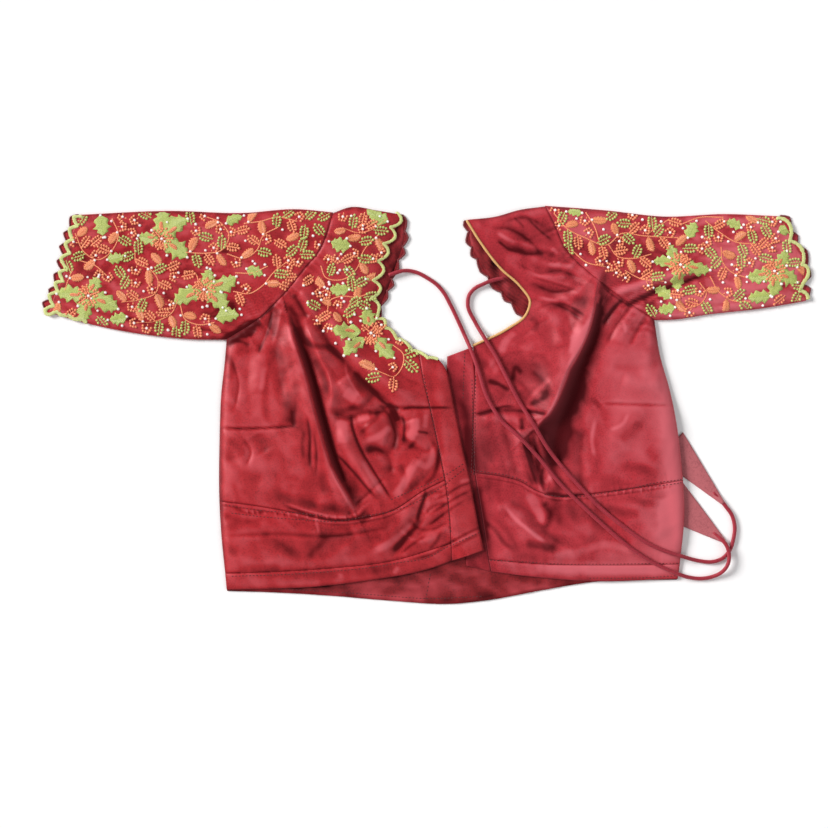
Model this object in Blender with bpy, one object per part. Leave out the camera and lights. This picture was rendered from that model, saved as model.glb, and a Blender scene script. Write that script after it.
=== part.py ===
"""Choli blouse laid flat, front up: short front-opening blouse with elbow sleeves, darts at
the bust, a shaped waistband, scalloped edgings, a piped neckline and two tie cords that end
in cloth tassels. Metres, +Z up, the wearer's right side towards -X, underside on z = 0."""

import math
from collections import namedtuple

import bmesh
import bpy
import numpy as np
from mathutils import Vector
from mathutils.bvhtree import BVHTree

# Sizes in millimetres
WALL = 1.2
SEAM_GAP = 0.3
EDGING_WALL = 1.0
SCALLOP_DEPTH = 4.2
NECK_PITCH = 12.0
BACK_PITCH = 13.0
CUFF_GAP = 0.55
PIPING_DIAMETER = 2.2
CORD_DIAMETER = 3.8
CORD_STEP = 8.5
CORD_CLEARANCE = 0.35
TASSEL_THICKNESS = 2.3
TASSEL_LIFT = 2.8

# Moves the tables below so that the origin is under the middle of the blouse
ORIGIN_X = -1.29
ORIGIN_Y = 0.71

# How the upper layer stands off the lower one
UPPER_REST = 2 * WALL + SEAM_GAP
BODY_FULLNESS = 5.2
SLEEVE_FULLNESS = 3.9
FOLD_RADIUS = 7.0
FREE_EDGE_RADIUS = 20.0
OVERLAP_RISE = WALL + 0.8

# Grid counts
ARMHOLE_CELLS = 10
SIDE_CELLS = 12
FRONT_COLUMNS = 17
BAND_ROWS = 5
HEM_ROWS = 2
NECK_CELLS = 12
PLACKET_COLUMNS = 2
SLEEVE_RINGS = 15
BACK_HEM_CELLS = 22
BACK_SIDE_CELLS = 17
SHOULDER_STEPS = (0.0, 0.09, 0.2, 0.34, 0.5, 0.72, 1.0)

EdgePoint = namedtuple("EdgePoint", "x y")
Fold = namedtuple("Fold", "x0 y0 x1 y1 bow left right height")
Mound = namedtuple("Mound", "x y across along height")
LiftBox = namedtuple("LiftBox", "x0 x1 y0 y1 ramp")


def edge_table(*rows):
    return [EdgePoint(*row) for row in rows]


# Cut edges and seams, right half of the garment
ARMHOLE_RIGHT = edge_table(
    (-93.0, 186.5), (-99.0, 164.5), (-106.0, 149.0), (-118.3, 134.3),
    (-143.5, 104.0), (-163.3, 84.8), (-196.0, 64.0),
)
SHOULDER_RIGHT = edge_table((-93.0, 186.5), (-76.3, 192.2), (-48.5, 188.7), (-26.0, 185.0))
SIDE_RIGHT = edge_table((-196.0, 64.0), (-198.0, 41.0), (-201.4, 10.0), (-202.4, -40.0), (-202.0, -92.5))
BAND_SIDE_RIGHT = edge_table((-202.0, -92.5), (-201.2, -122.5), (-197.5, -162.4))
HEM_SIDE_RIGHT = edge_table((-197.5, -162.4), (-196.0, -178.6))
NECKLINE_RIGHT = edge_table(
    (-26.0, 185.0), (-34.0, 167.5), (-44.5, 139.5), (-50.0, 113.0),
    (-48.5, 91.0), (-32.5, 69.0), (-10.0, 51.5),
)
PLACKET_SEAM_RIGHT = edge_table((-10.0, 51.5), (-6.0, 28.0), (1.5, -4.0), (7.7, -33.0), (15.5, -72.0))
PLACKET_SEAM_BAND_RIGHT = edge_table((15.5, -72.0), (19.8, -105.0), (21.5, -133.5))
PLACKET_SEAM_HEM_RIGHT = edge_table((21.5, -133.5), (22.0, -150.5))
CENTRE_EDGE_RIGHT = edge_table(
    (9.0, 45.0), (15.5, 37.0), (21.0, 17.0), (25.8, -7.3), (32.3, -39.3), (39.5, -71.6),
    (46.8, -110.0), (53.2, -140.0),
)
BAND_SEAM_RIGHT = edge_table(
    (-202.0, -92.5), (-169.0, -96.5), (-134.0, -102.6), (-86.0, -111.3), (-61.7, -108.6),
    (-36.0, -101.8), (-4.6, -82.0), (15.5, -72.0),
)
HEM_SEAM_RIGHT = edge_table(
    (-197.5, -162.4), (-143.0, -160.5), (-91.0, -157.0), (-39.0, -151.0), (21.5, -133.5),
)
HEM_EDGE_RIGHT = edge_table(
    (-196.0, -178.6), (-108.6, -175.4), (-56.6, -169.3), (3.9, -157.1), (22.0, -150.5),
)
SLEEVE_TOP_RIGHT = edge_table(
    (-93.0, 186.5), (-128.0, 189.6), (-180.0, 186.0), (-251.7, 188.0), (-338.0, 184.3),
)
SLEEVE_UNDER_RIGHT = edge_table(
    (-196.0, 64.0), (-230.0, 64.5), (-261.0, 67.4), (-305.6, 74.5), (-350.5, 85.6), (-368.0, 91.0),
)
CUFF_RIGHT = edge_table(
    (-338.0, 184.3), (-346.0, 168.0), (-350.5, 148.0), (-354.5, 128.0), (-362.0, 110.0), (-368.0, 91.0),
)

# Cut edges and seams, left half of the garment
ARMHOLE_LEFT = edge_table(
    (112.5, 193.0), (122.0, 173.0), (131.0, 152.5), (152.2, 130.0), (184.9, 104.5), (218.3, 83.0),
)
SHOULDER_LEFT = edge_table((112.5, 193.0), (87.3, 189.5), (65.0, 183.2), (37.0, 180.0))
SIDE_LEFT = edge_table((218.3, 83.0), (224.0, 48.0), (233.0, 16.0), (241.0, -28.0), (245.6, -72.0))
BAND_SIDE_LEFT = edge_table((245.6, -72.0), (247.0, -98.0), (243.0, -153.5))
HEM_SIDE_LEFT = edge_table((243.0, -153.5), (241.0, -168.0))
NECKLINE_LEFT = edge_table(
    (37.0, 180.0), (50.5, 158.5), (70.8, 132.5), (88.5, 116.5), (98.6, 100.5), (94.5, 87.5),
    (76.4, 73.5), (42.5, 57.0),
)
PLACKET_SEAM_LEFT = edge_table((42.5, 57.0), (44.5, 33.0), (43.5, 0.0), (43.0, -36.0), (44.5, -65.0))
PLACKET_SEAM_BAND_LEFT = edge_table((44.5, -65.0), (50.0, -98.0), (58.0, -149.0))
PLACKET_SEAM_HEM_LEFT = edge_table((58.0, -149.0), (60.4, -161.0))
CENTRE_EDGE_LEFT = edge_table(
    (17.5, 47.5), (17.0, 30.0), (18.5, -10.0), (24.5, -66.0), (33.0, -132.0), (36.3, -155.3),
)
BAND_SEAM_LEFT = edge_table(
    (245.6, -72.0), (200.7, -79.2), (149.3, -86.0), (121.5, -87.5), (103.7, -82.0), (89.8, -73.8),
    (70.0, -68.3), (44.5, -65.0),
)
HEM_SEAM_LEFT = edge_table((243.0, -153.5), (168.8, -154.4), (109.6, -153.5), (58.0, -149.0))
HEM_EDGE_LEFT = edge_table((241.0, -168.0), (155.2, -170.2), (97.4, -165.7), (60.4, -161.0))
SLEEVE_TOP_LEFT = edge_table((112.5, 193.0), (171.0, 188.6), (228.4, 182.6), (286.9, 185.0), (339.0, 183.0))
SLEEVE_UNDER_LEFT = edge_table((218.3, 83.0), (236.4, 83.6), (270.5, 88.7), (322.0, 94.6), (365.0, 102.0))
CUFF_LEFT = edge_table(
    (339.0, 183.0), (348.0, 170.0), (353.5, 157.0), (361.0, 145.0), (365.0, 134.0), (361.0, 119.0),
    (365.0, 102.0),
)

# Back panel
BACK_SIDE_RIGHT = edge_table(
    (-196.0, 64.0), (-198.0, 41.0), (-201.4, 10.0), (-203.2, -40.0), (-203.2, -92.5),
    (-201.6, -122.5), (-197.2, -166.0), (-195.6, -179.8),
)
BACK_HEM = edge_table(
    (-195.6, -179.8), (-146.5, -181.4), (-91.0, -184.8), (-39.0, -189.2), (23.3, -192.3),
    (55.3, -189.1), (109.6, -179.2), (155.2, -171.6), (240.6, -168.8),
)
BACK_SIDE_LEFT = edge_table(
    (240.6, -168.8), (243.7, -144.0), (247.2, -97.5), (245.9, -72.0), (241.0, -28.0),
    (233.0, 16.0), (224.0, 48.0), (218.3, 83.0),
)
BACK_NECK = edge_table(
    (-26.0, 185.0), (-23.5, 168.0), (-25.5, 155.0), (-32.0, 136.0), (-39.5, 114.0), (-47.0, 97.0),
    (-57.0, 66.0), (-62.5, 25.0), (-59.0, -20.0), (-38.0, -56.0), (18.0, -74.0), (72.0, -56.0),
    (97.0, -18.0), (103.0, 22.0), (102.0, 58.0), (94.0, 84.0), (71.0, 109.5), (53.0, 131.0),
    (41.5, 154.0), (37.0, 180.0),
)

# Large folds: start, end, sideways bow, width on each side of the line, height
FOLDS_RIGHT = [
    Fold(-136, 82, -78, -94, 0, 9, 22, 6.5),
    Fold(-128, 70, -62, -96, -3, 9, 9, -4.5),
    Fold(-96, 12, -42, -92, -12, 9, 9, -3.0),
    Fold(-124, 116, -26, 0, -4, 9, 10, -3.2),
    Fold(-104, 118, -20, 14, -2, 12, 12, 2.0),
    Fold(-200, -24, -126, -23, 0, 9, 9, -1.6),
    Fold(-4, -100, -36, -150, -3, 9, 9, -1.8),
    Fold(-210, 150, -128, 120, 4, 10, 10, 1.6),
    Fold(-238, 92, -178, 76, 0, 9, 9, -1.5),
]
FOLDS_LEFT = [
    Fold(167, 122, 100, -24, 12, 10, 26, 6.5),
    Fold(168, 112, 138, -56, 6, 14, 9, -5.0),
    Fold(87, -4, 112, -88, -7, 9, 9, -2.6),
    Fold(74, -98, 116, -136, -3, 9, 9, 2.0),
    Fold(168, 0, 236, -3, 0, 9, 9, -1.6),
    Fold(70, 172, 128, 146, 3, 11, 11, 1.6),
    Fold(196, 128, 236, 108, 0, 9, 9, -1.5),
    Fold(250, 160, 320, 148, 4, 12, 12, 1.4),
]
MOUNDS_RIGHT = [
    Mound(-112, 8, 52, 62, 4.6),
    Mound(-38, 6, 34, 40, 2.4),
    Mound(-120, -136, 60, 20, 1.2),
]
MOUNDS_LEFT = [
    Mound(116, 20, 42, 60, 4.8),
    Mound(192, 2, 34, 60, 3.2),
    Mound(140, -118, 60, 20, 1.2),
]
TASSEL_ROOM = LiftBox(202.0, 262.0, -122.0, -18.0, 40.0)

# Tassels: tip, outer corner, inner corner
Tassel = namedtuple("Tassel", "tip_x tip_y first_x first_y second_x second_y")
TASSELS = {
    "tassel_right": Tassel(285.0, -94.4, 246.4, -26.0, 221.0, -50.5),
    "tassel_left": Tassel(286.2, -131.6, 241.0, -67.6, 209.5, -102.0),
}

# Tie cords: route across the neck opening and the left front, out to the tassels
CORD_ROUTES = {
    "cord_left": edge_table(
        (72.5, 123.4), (62.5, 121.4), (52.2, 117.4), (45.2, 114.0), (39.0, 107.0), (37.6, 98.0),
        (45.2, 80.0), (54.0, 64.6), (63.0, 50.0), (74.2, 27.8), (86.0, 5.0), (99.7, -17.0),
        (113.5, -40.0), (130.4, -61.4),
        (150.8, -84.0), (168.0, -101.0), (187.0, -116.4), (209.4, -132.0), (227.0, -140.0),
        (243.7, -145.4), (262.6, -150.6), (274.7, -151.4), (284.7, -147.8), (291.5, -140.0),
        (294.8, -130.0), (296.2, -117.7), (293.7, -106.7), (287.3, -97.4),
    ),
    "cord_right": edge_table(
        (-39.0, 126.0), (-32.0, 128.6), (-23.6, 130.6), (-12.7, 129.2), (-1.6, 123.6), (8.4, 116.4),
        (14.6, 109.0), (20.6, 98.0), (31.0, 76.0), (40.0, 55.0), (47.4, 34.5), (55.2, 10.0),
        (69.4, -14.0), (88.8, -32.2),
        (104.2, -48.6), (127.0, -76.0), (146.8, -95.6), (170.4, -117.4), (196.0, -138.6),
        (218.5, -152.8), (240.3, -162.6), (252.0, -166.4), (264.4, -167.6), (275.0, -165.6),
        (283.6, -160.8), (289.0, -153.0), (290.0, -144.5), (287.6, -135.4),
    ),
}
CROSSING = EdgePoint(287.6, -146.0)
CROSSING_RADIUS = 7.0

# Colour, roughness and metallic value of each piece
SILK = (0.36, 0.026, 0.034, 1.0)
SILK_PINK = (0.40, 0.030, 0.045, 1.0)
SILK_DARK = (0.17, 0.010, 0.014, 1.0)
GREEN_THREAD = (0.39, 0.54, 0.09, 1.0)
GOLD_CLOTH = (0.62, 0.33, 0.09, 1.0)
CORD_RED = (0.32, 0.026, 0.038, 1.0)
TASSEL_CLOTH = (0.37, 0.080, 0.092, 1.0)


def smooth_path(table, cells, shares=None):
    """Points along a smooth curve through the table's rows, evenly or at given shares of it."""
    points = np.array([(row.x, row.y) for row in table], float)
    steps = np.linalg.norm(np.diff(points, axis=0), axis=1)
    stations = np.concatenate([[0.0], np.cumsum(steps)])
    slopes = np.diff(points, axis=0) / steps[:, None]
    tangents = np.empty_like(points)
    tangents[0] = slopes[0]
    tangents[-1] = slopes[-1]
    before, after = steps[:-1, None], steps[1:, None]
    tangents[1:-1] = (slopes[:-1] * after + slopes[1:] * before) / (before + after)
    at = stations[-1] * (np.linspace(0.0, 1.0, cells + 1) if shares is None else np.array(shares))
    row = np.clip(np.searchsorted(stations, at, side="right") - 1, 0, len(steps) - 1)
    span = steps[row][:, None]
    t = ((at - stations[row])[:, None]) / span
    return (
        (2 * t**3 - 3 * t**2 + 1) * points[row]
        + (t**3 - 2 * t**2 + t) * span * tangents[row]
        + (3 * t**2 - 2 * t**3) * points[row + 1]
        + (t**3 - t**2) * span * tangents[row + 1]
    )


def chain(*parts):
    """One run of points from several (table, cells) parts that share their ends."""
    runs = [smooth_path(table, cells) for table, cells in parts]
    return np.concatenate([runs[0]] + [run[1:] for run in runs[1:]])


def smoothstep(value):
    t = np.clip(value, 0.0, 1.0)
    return t * t * (3 - 2 * t)


def distance_to(lines, x, y):
    """Shortest distance in the plane from each point to a set of runs of points."""
    best = np.full(np.shape(x), 1e9)
    for run in lines:
        for (ax, ay), (bx, by) in zip(run[:-1], run[1:]):
            dx, dy = bx - ax, by - ay
            t = np.clip(((x - ax) * dx + (y - ay) * dy) / (dx * dx + dy * dy), 0.0, 1.0)
            best = np.minimum(best, np.hypot(x - ax - t * dx, y - ay - t * dy))
    return best


def across_at(run, y):
    """x of an upright run of points at each height y."""
    order = np.argsort(run[:, 1])
    return np.interp(y, run[order, 1], run[order, 0])


def fold_height(fold, x, y):
    dx, dy = fold.x1 - fold.x0, fold.y1 - fold.y0
    length = math.hypot(dx, dy)
    along = ((x - fold.x0) * dx + (y - fold.y0) * dy) / length**2
    aside = ((y - fold.y0) * dx - (x - fold.x0) * dy) / length
    aside = aside - fold.bow * 4 * along * (1 - along)
    width = np.where(aside > 0, fold.left, fold.right)
    taper = smoothstep(along / 0.22 + 0.35) * smoothstep((1 - along) / 0.22 + 0.35)
    return fold.height * taper * np.exp(-((aside / width) ** 2))


def mound_height(mound, x, y):
    return mound.height * np.exp(-(((x - mound.x) / mound.across) ** 2) - ((y - mound.y) / mound.along) ** 2)


def tassel_lift(x, y):
    """Rise of every layer where the tassels lie beneath the blouse's left side."""
    room = TASSEL_ROOM
    rise_x = smoothstep((x - room.x0 + room.ramp) / room.ramp)
    rise_low = smoothstep((y - room.y0 + room.ramp) / room.ramp)
    rise_high = smoothstep((room.y1 + room.ramp - y) / room.ramp)
    return TASSEL_LIFT * rise_x * rise_low * rise_high


SIDES = {
    "right": {
        "folded": [
            chain((SLEEVE_TOP_RIGHT, 12)), chain((SHOULDER_RIGHT, 6)), chain((SLEEVE_UNDER_RIGHT, 10)),
            chain((SIDE_RIGHT, 8), (BAND_SIDE_RIGHT, 4), (HEM_SIDE_RIGHT, 1)),
        ],
        "free": [
            chain((NECKLINE_RIGHT, 12)), chain((CENTRE_EDGE_RIGHT, 10)), chain((HEM_EDGE_RIGHT, 8)),
            chain((CUFF_RIGHT, 6)),
        ],
        "folds": FOLDS_RIGHT,
        "mounds": MOUNDS_RIGHT,
        "sleeve_side": -1,
    },
    "left": {
        "folded": [
            chain((SLEEVE_TOP_LEFT, 12)), chain((SHOULDER_LEFT, 6)), chain((SLEEVE_UNDER_LEFT, 10)),
            chain((SIDE_LEFT, 8), (BAND_SIDE_LEFT, 4), (HEM_SIDE_LEFT, 1)),
        ],
        "free": [
            chain((NECKLINE_LEFT, 14)), chain((CENTRE_EDGE_RIGHT, 10)), chain((HEM_EDGE_LEFT, 6)),
            chain((CUFF_LEFT, 6)),
        ],
        "folds": FOLDS_LEFT,
        "mounds": MOUNDS_LEFT,
        "sleeve_side": 1,
    },
}
CENTRE_RIGHT = chain((CENTRE_EDGE_RIGHT, 24))
CENTRE_LEFT = chain((CENTRE_EDGE_LEFT, 24))


def upper_height(side, x, y):
    """Top of the upper layer, fronts and sleeves, above the surface the blouse lies on."""
    plan = SIDES[side]
    folded = 1 - np.exp(-distance_to(plan["folded"], x, y) / FOLD_RADIUS)
    free = 1 - np.exp(-distance_to(plan["free"], x, y) / FREE_EDGE_RADIUS)
    outward = x * plan["sleeve_side"]
    sleeve = smoothstep((outward - 150) / 60) * smoothstep((y - 50) / 30)
    fullness = BODY_FULLNESS + (SLEEVE_FULLNESS - BODY_FULLNESS) * sleeve
    relief = sum(fold_height(fold, x, y) for fold in plan["folds"])
    relief = relief + sum(mound_height(mound, x, y) for mound in plan["mounds"])
    centre = np.ones(np.shape(x))
    if side == "left":
        centre = smoothstep((x - across_at(CENTRE_RIGHT, y) - 2) / 22)
        centre = np.where(y > 60, 1.0, centre)
    rise = (fullness * folded + relief * np.minimum(1, folded * 1.2)) * free * centre
    height = UPPER_REST + np.maximum(rise, 0.0) + tassel_lift(x, y) * 1.08
    if side == "right":
        overlap = smoothstep((x - across_at(CENTRE_LEFT, y) + 17) / 13)
        height = height + OVERLAP_RISE * overlap * smoothstep((70 - y) / 12)
    return height


def wall_drop(height_of, x, y, wall):
    """Upright thickness that keeps a wall this thick on a slope."""
    step = 1.0
    slope_x = (height_of(x + step, y) - height_of(x - step, y)) / (2 * step)
    slope_y = (height_of(x, y + step) - height_of(x, y - step)) / (2 * step)
    return wall * np.minimum(np.sqrt(1 + slope_x**2 + slope_y**2), 1.5)


def patch(left, right, top, bottom, across=None):
    """Grid of plane points between four edges that share their corners: rows run down."""
    rows, columns = len(left), len(top)
    u = np.linspace(0, 1, columns) if across is None else np.array(across)
    v = np.linspace(0, 1, rows)
    u, v = u[None, :, None], v[:, None, None]
    corners = (
        (1 - u) * (1 - v) * left[0] + u * (1 - v) * right[0]
        + (1 - u) * v * left[-1] + u * v * right[-1]
    )
    grid = (1 - u) * left[:, None] + u * right[:, None] + (1 - v) * top[None] + v * bottom[None] - corners
    return inset(grid, SEAM_GAP / 2)


def inset(grid, gap):
    """Draws the grid's four edges in by a small gap."""
    grid = grid.copy()
    for edge, inner in ((0, 1), (-1, -2)):
        step = grid[inner] - grid[edge]
        grid[edge] += step / np.linalg.norm(step, axis=1)[:, None] * gap
        step = grid[:, inner] - grid[:, edge]
        grid[:, edge] += step / np.linalg.norm(step, axis=1)[:, None] * gap
    return grid


def metres(point):
    return Vector((point[0] - ORIGIN_X, point[1] - ORIGIN_Y, point[2])) * 0.001


def raised(plane, height):
    return np.concatenate([plane, height[..., None]], axis=-1)


def material(name, colour, roughness=0.6, metallic=0.0):
    made = bpy.data.materials.get(name) or bpy.data.materials.new(name)
    made.use_nodes = True
    shader = made.node_tree.nodes["Principled BSDF"]
    shader.inputs["Base Color"].default_value = colour
    shader.inputs["Roughness"].default_value = roughness
    shader.inputs["Metallic"].default_value = metallic
    made.diffuse_color = colour
    return made


def shell(name, outer, inner, finish, wrap=False):
    """Closed wall between an outer and an inner grid of points; a wrapped one is a tube."""
    rows, columns = outer.shape[:2]
    mesh = bmesh.new()
    bmesh.ops.create_grid(mesh, x_segments=columns - 1, y_segments=rows - 1, size=1.0)
    column_of = mesh.verts.layers.int.new("column")
    row_of = mesh.verts.layers.int.new("row")
    for vert in mesh.verts:
        vert[column_of] = round((vert.co.x + 1) / 2 * (columns - 1))
        vert[row_of] = round((vert.co.y + 1) / 2 * (rows - 1))
    for vert in mesh.verts:
        vert.co = metres(outer[vert[row_of], vert[column_of]])
    if wrap:
        bmesh.ops.remove_doubles(mesh, verts=mesh.verts, dist=0.00001)
    made = bmesh.ops.extrude_face_region(mesh, geom=mesh.faces[:])["geom"]
    for item in made:
        if isinstance(item, bmesh.types.BMVert):
            item.co = metres(inner[item[row_of], item[column_of]])
    bmesh.ops.triangulate(mesh, faces=mesh.faces)
    bmesh.ops.recalc_face_normals(mesh, faces=mesh.faces)
    data = bpy.data.meshes.new(name)
    mesh.to_mesh(data)
    mesh.free()
    return add_object(name, data, finish)


def add_object(name, data, finish):
    obj = bpy.data.objects.new(name, data)
    obj.data.materials.append(finish)
    BLOUSE.objects.link(obj)
    return obj


def panel(name, side, plane, finish):
    """A panel of the upper layer on its plane grid."""
    x, y = plane[..., 0], plane[..., 1]
    top = upper_height(side, x, y)
    drop = wall_drop(lambda px, py: upper_height(side, px, py), x, y, WALL)
    shell(name, raised(plane, top), raised(plane, top - drop), finish)
    return raised(plane, top)


def sleeve(name, side, plane, finish):
    """A flattened tube: the upper layer on its grid, the lower layer on the surface."""
    x, y = plane[..., 0], plane[..., 1]
    top = upper_height(side, x, y)
    drop = wall_drop(lambda px, py: upper_height(side, px, py), x, y, WALL)
    under = np.full(top.shape, WALL)
    floor = np.zeros(top.shape)
    edge_out = np.stack([plane[:, 0] * 1.0, plane[:, -1] * 1.0], axis=1)
    away = np.stack([plane[:, 0] - plane[:, 1], plane[:, -1] - plane[:, -2]], axis=1)
    away = away / np.linalg.norm(away, axis=-1)[..., None]
    drawn = plane.copy()
    drawn[:, 0] -= away[:, 0] * (WALL + 0.2)
    drawn[:, -1] -= away[:, 1] * (WALL + 0.2)
    middle = np.full(len(plane), UPPER_REST / 2)
    outer_side = [raised(edge_out[:, i] + away[:, i] * 0.8, middle) for i in (0, 1)]
    inner_side = [raised(drawn[:, i] + away[:, k] * 0.15, middle) for k, i in ((0, 0), (1, -1))]
    outer = np.concatenate(
        [
            raised(plane, top), outer_side[1][:, None], raised(plane, floor)[:, ::-1],
            outer_side[0][:, None], raised(plane, top)[:, :1],
        ],
        axis=1,
    )
    inner = np.concatenate(
        [
            raised(drawn, top - drop), inner_side[1][:, None], raised(drawn, under)[:, ::-1],
            inner_side[0][:, None], raised(drawn, top - drop)[:, :1],
        ],
        axis=1,
    )
    shell(name, outer, inner, finish, wrap=True)
    return raised(plane, top)


def resample(points, count):
    steps = np.linalg.norm(np.diff(points[:, :2], axis=0), axis=1)
    stations = np.concatenate([[0.0], np.cumsum(steps)])
    at = np.linspace(0, stations[-1], count + 1)
    return np.stack([np.interp(at, stations, points[:, k]) for k in range(3)], axis=1), at


def sideways(points, turn):
    """Unit vectors in the plane square to a run of points; turn is 1 for left, -1 for right."""
    tangent = np.gradient(points[:, :2], axis=0)
    tangent /= np.linalg.norm(tangent, axis=1)[:, None]
    return np.stack([-tangent[:, 1], tangent[:, 0]], axis=1) * turn


def scallop_reach(at, pitch):
    return SCALLOP_DEPTH * (0.3 + 0.7 * np.abs(np.sin(np.pi * at / pitch)) ** 0.75)


def edging(name, border, turn, pitch, cells_each, finish):
    """Scalloped strip along the edge of a panel, made from the panel's own edge points."""
    length = np.linalg.norm(np.diff(border[:, :2], axis=0), axis=1).sum()
    scallops = max(3, round(length / pitch))
    base, at = resample(border, scallops * cells_each)
    away = sideways(base, turn)
    reach = scallop_reach(at, length / scallops)
    near, far = base.copy(), base.copy()
    near[:, :2] += away * SEAM_GAP
    far[:, :2] += away * (SEAM_GAP + reach)[:, None]
    top = np.stack([near, far], axis=0)
    low = top.copy()
    low[..., 2] -= EDGING_WALL
    shell(name, top, low, finish)


def cuff_edging(name, border, turn, finish, scallops=8, cells_each=3):
    """Scalloped ring round the open end of a flattened sleeve."""
    base, at = resample(border, scallops * cells_each)
    away = sideways(base, turn)
    reach = scallop_reach(at, at[-1] / scallops)
    near, far = base.copy(), base.copy()
    near[:, :2] += away * CUFF_GAP
    far[:, :2] += away * (CUFF_GAP + reach)[:, None]
    top = np.stack([near, far], axis=0)
    along = np.stack([base[0, :2] - base[1, :2], base[-1, :2] - base[-2, :2]])
    along /= np.linalg.norm(along, axis=1)[:, None]
    level = top.copy()
    level[..., 2] = 0.0
    fold = top[:, [0, -1]].copy()
    fold[..., :2] += along[None] * 0.6
    fold[..., 2] = UPPER_REST / 2
    upper_in, lower_in, fold_in = top.copy(), level.copy(), fold.copy()
    upper_in[..., 2] -= EDGING_WALL
    lower_in[..., 2] = EDGING_WALL
    for grid in (upper_in, lower_in):
        grid[:, [0, -1], :2] -= along[None] * (EDGING_WALL + 0.2)
    fold_in[..., :2] -= along[None] * (EDGING_WALL + 0.6)
    outer = np.concatenate([top, fold[:, 1:], level[:, ::-1], fold[:, :1], top[:, :1]], axis=1)
    inner_loop = [upper_in, fold_in[:, 1:], lower_in[:, ::-1], fold_in[:, :1], upper_in[:, :1]]
    inner = np.concatenate(inner_loop, axis=1)
    shell(name, outer, inner, finish, wrap=True)


def tube(name, points, diameter, finish, resolution):
    """Round cord through points in millimetres, closed at both ends."""
    data = bpy.data.curves.new(name, "CURVE")
    data.dimensions = "3D"
    data.bevel_depth = diameter / 2 * 0.001
    data.bevel_resolution = resolution
    data.use_fill_caps = True
    spline = data.splines.new("POLY")
    spline.points.add(len(points) - 1)
    for target, point in zip(spline.points, points):
        target.co = (*metres(point), 1.0)
    return add_object(name, data, finish)


def trees_of(names):
    graph = bpy.context.evaluated_depsgraph_get()
    return [BVHTree.FromObject(bpy.data.objects[name], graph) for name in names]


def surface_under(trees, x, y):
    """Highest point of the laid pieces under a place in the plane, in millimetres."""
    best = 0.0
    for tree in trees:
        hit = tree.ray_cast(metres((x, y, 200)), Vector((0, 0, -1)))[0]
        if hit is not None:
            best = max(best, hit.z * 1000)
    return best


def cord_heights(plane, trees, raise_crossing):
    """Centre heights of a cord that lies on whatever is below it."""
    radius = CORD_DIAMETER / 2
    found = []
    for x, y in plane:
        around = [(x, y)]
        for k in range(12):
            angle = k * math.pi / 6
            around.append((x + radius * math.cos(angle), y + radius * math.sin(angle)))
            around.append((x + 2.2 * radius * math.cos(angle), y + 2.2 * radius * math.sin(angle)))
        found.append(max(surface_under(trees, px, py) for px, py in around))
    found = np.array(found)
    if raise_crossing:
        near = np.hypot(plane[:, 0] - CROSSING.x, plane[:, 1] - CROSSING.y)
        bridge = (CORD_DIAMETER + CORD_CLEARANCE) * (1 - smoothstep((near - CROSSING_RADIUS) / 9))
        found = np.maximum(found, bridge)
    padded = np.pad(found, 1, mode="edge")
    highest = np.maximum(np.maximum(padded[:-2], padded[1:-1]), padded[2:])
    padded = np.pad(highest, 1, mode="edge")
    eased = (padded[:-2] + padded[1:-1] * 2 + padded[2:]) / 4
    return np.maximum(eased, found) + radius + CORD_CLEARANCE


def tassel(name, shape, finish):
    """Folded triangle of cloth, its tip at the cord and its wide end open and flat."""
    tip = np.array([shape.tip_x, shape.tip_y])
    first = np.array([shape.first_x, shape.first_y])
    second = np.array([shape.second_x, shape.second_y])
    across = (first - second) / np.linalg.norm(first - second)
    near_tip = (tip + across * 1.7, tip - across * 1.7)
    down, over = 8, 4
    v = np.linspace(0, 1, down + 1)[:, None, None]
    u = np.linspace(0, 1, over + 1)[None, :, None]
    plane = (1 - v) * ((1 - u) * near_tip[0] + u * near_tip[1]) + v * ((1 - u) * first + u * second)
    swell = 1 - 0.32 * (2 * u[..., 0] - 1) ** 2
    top = TASSEL_THICKNESS * swell * (1 + 0 * v[..., 0])
    shell(name, raised(plane, top), raised(plane, np.zeros(top.shape)), finish)


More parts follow.
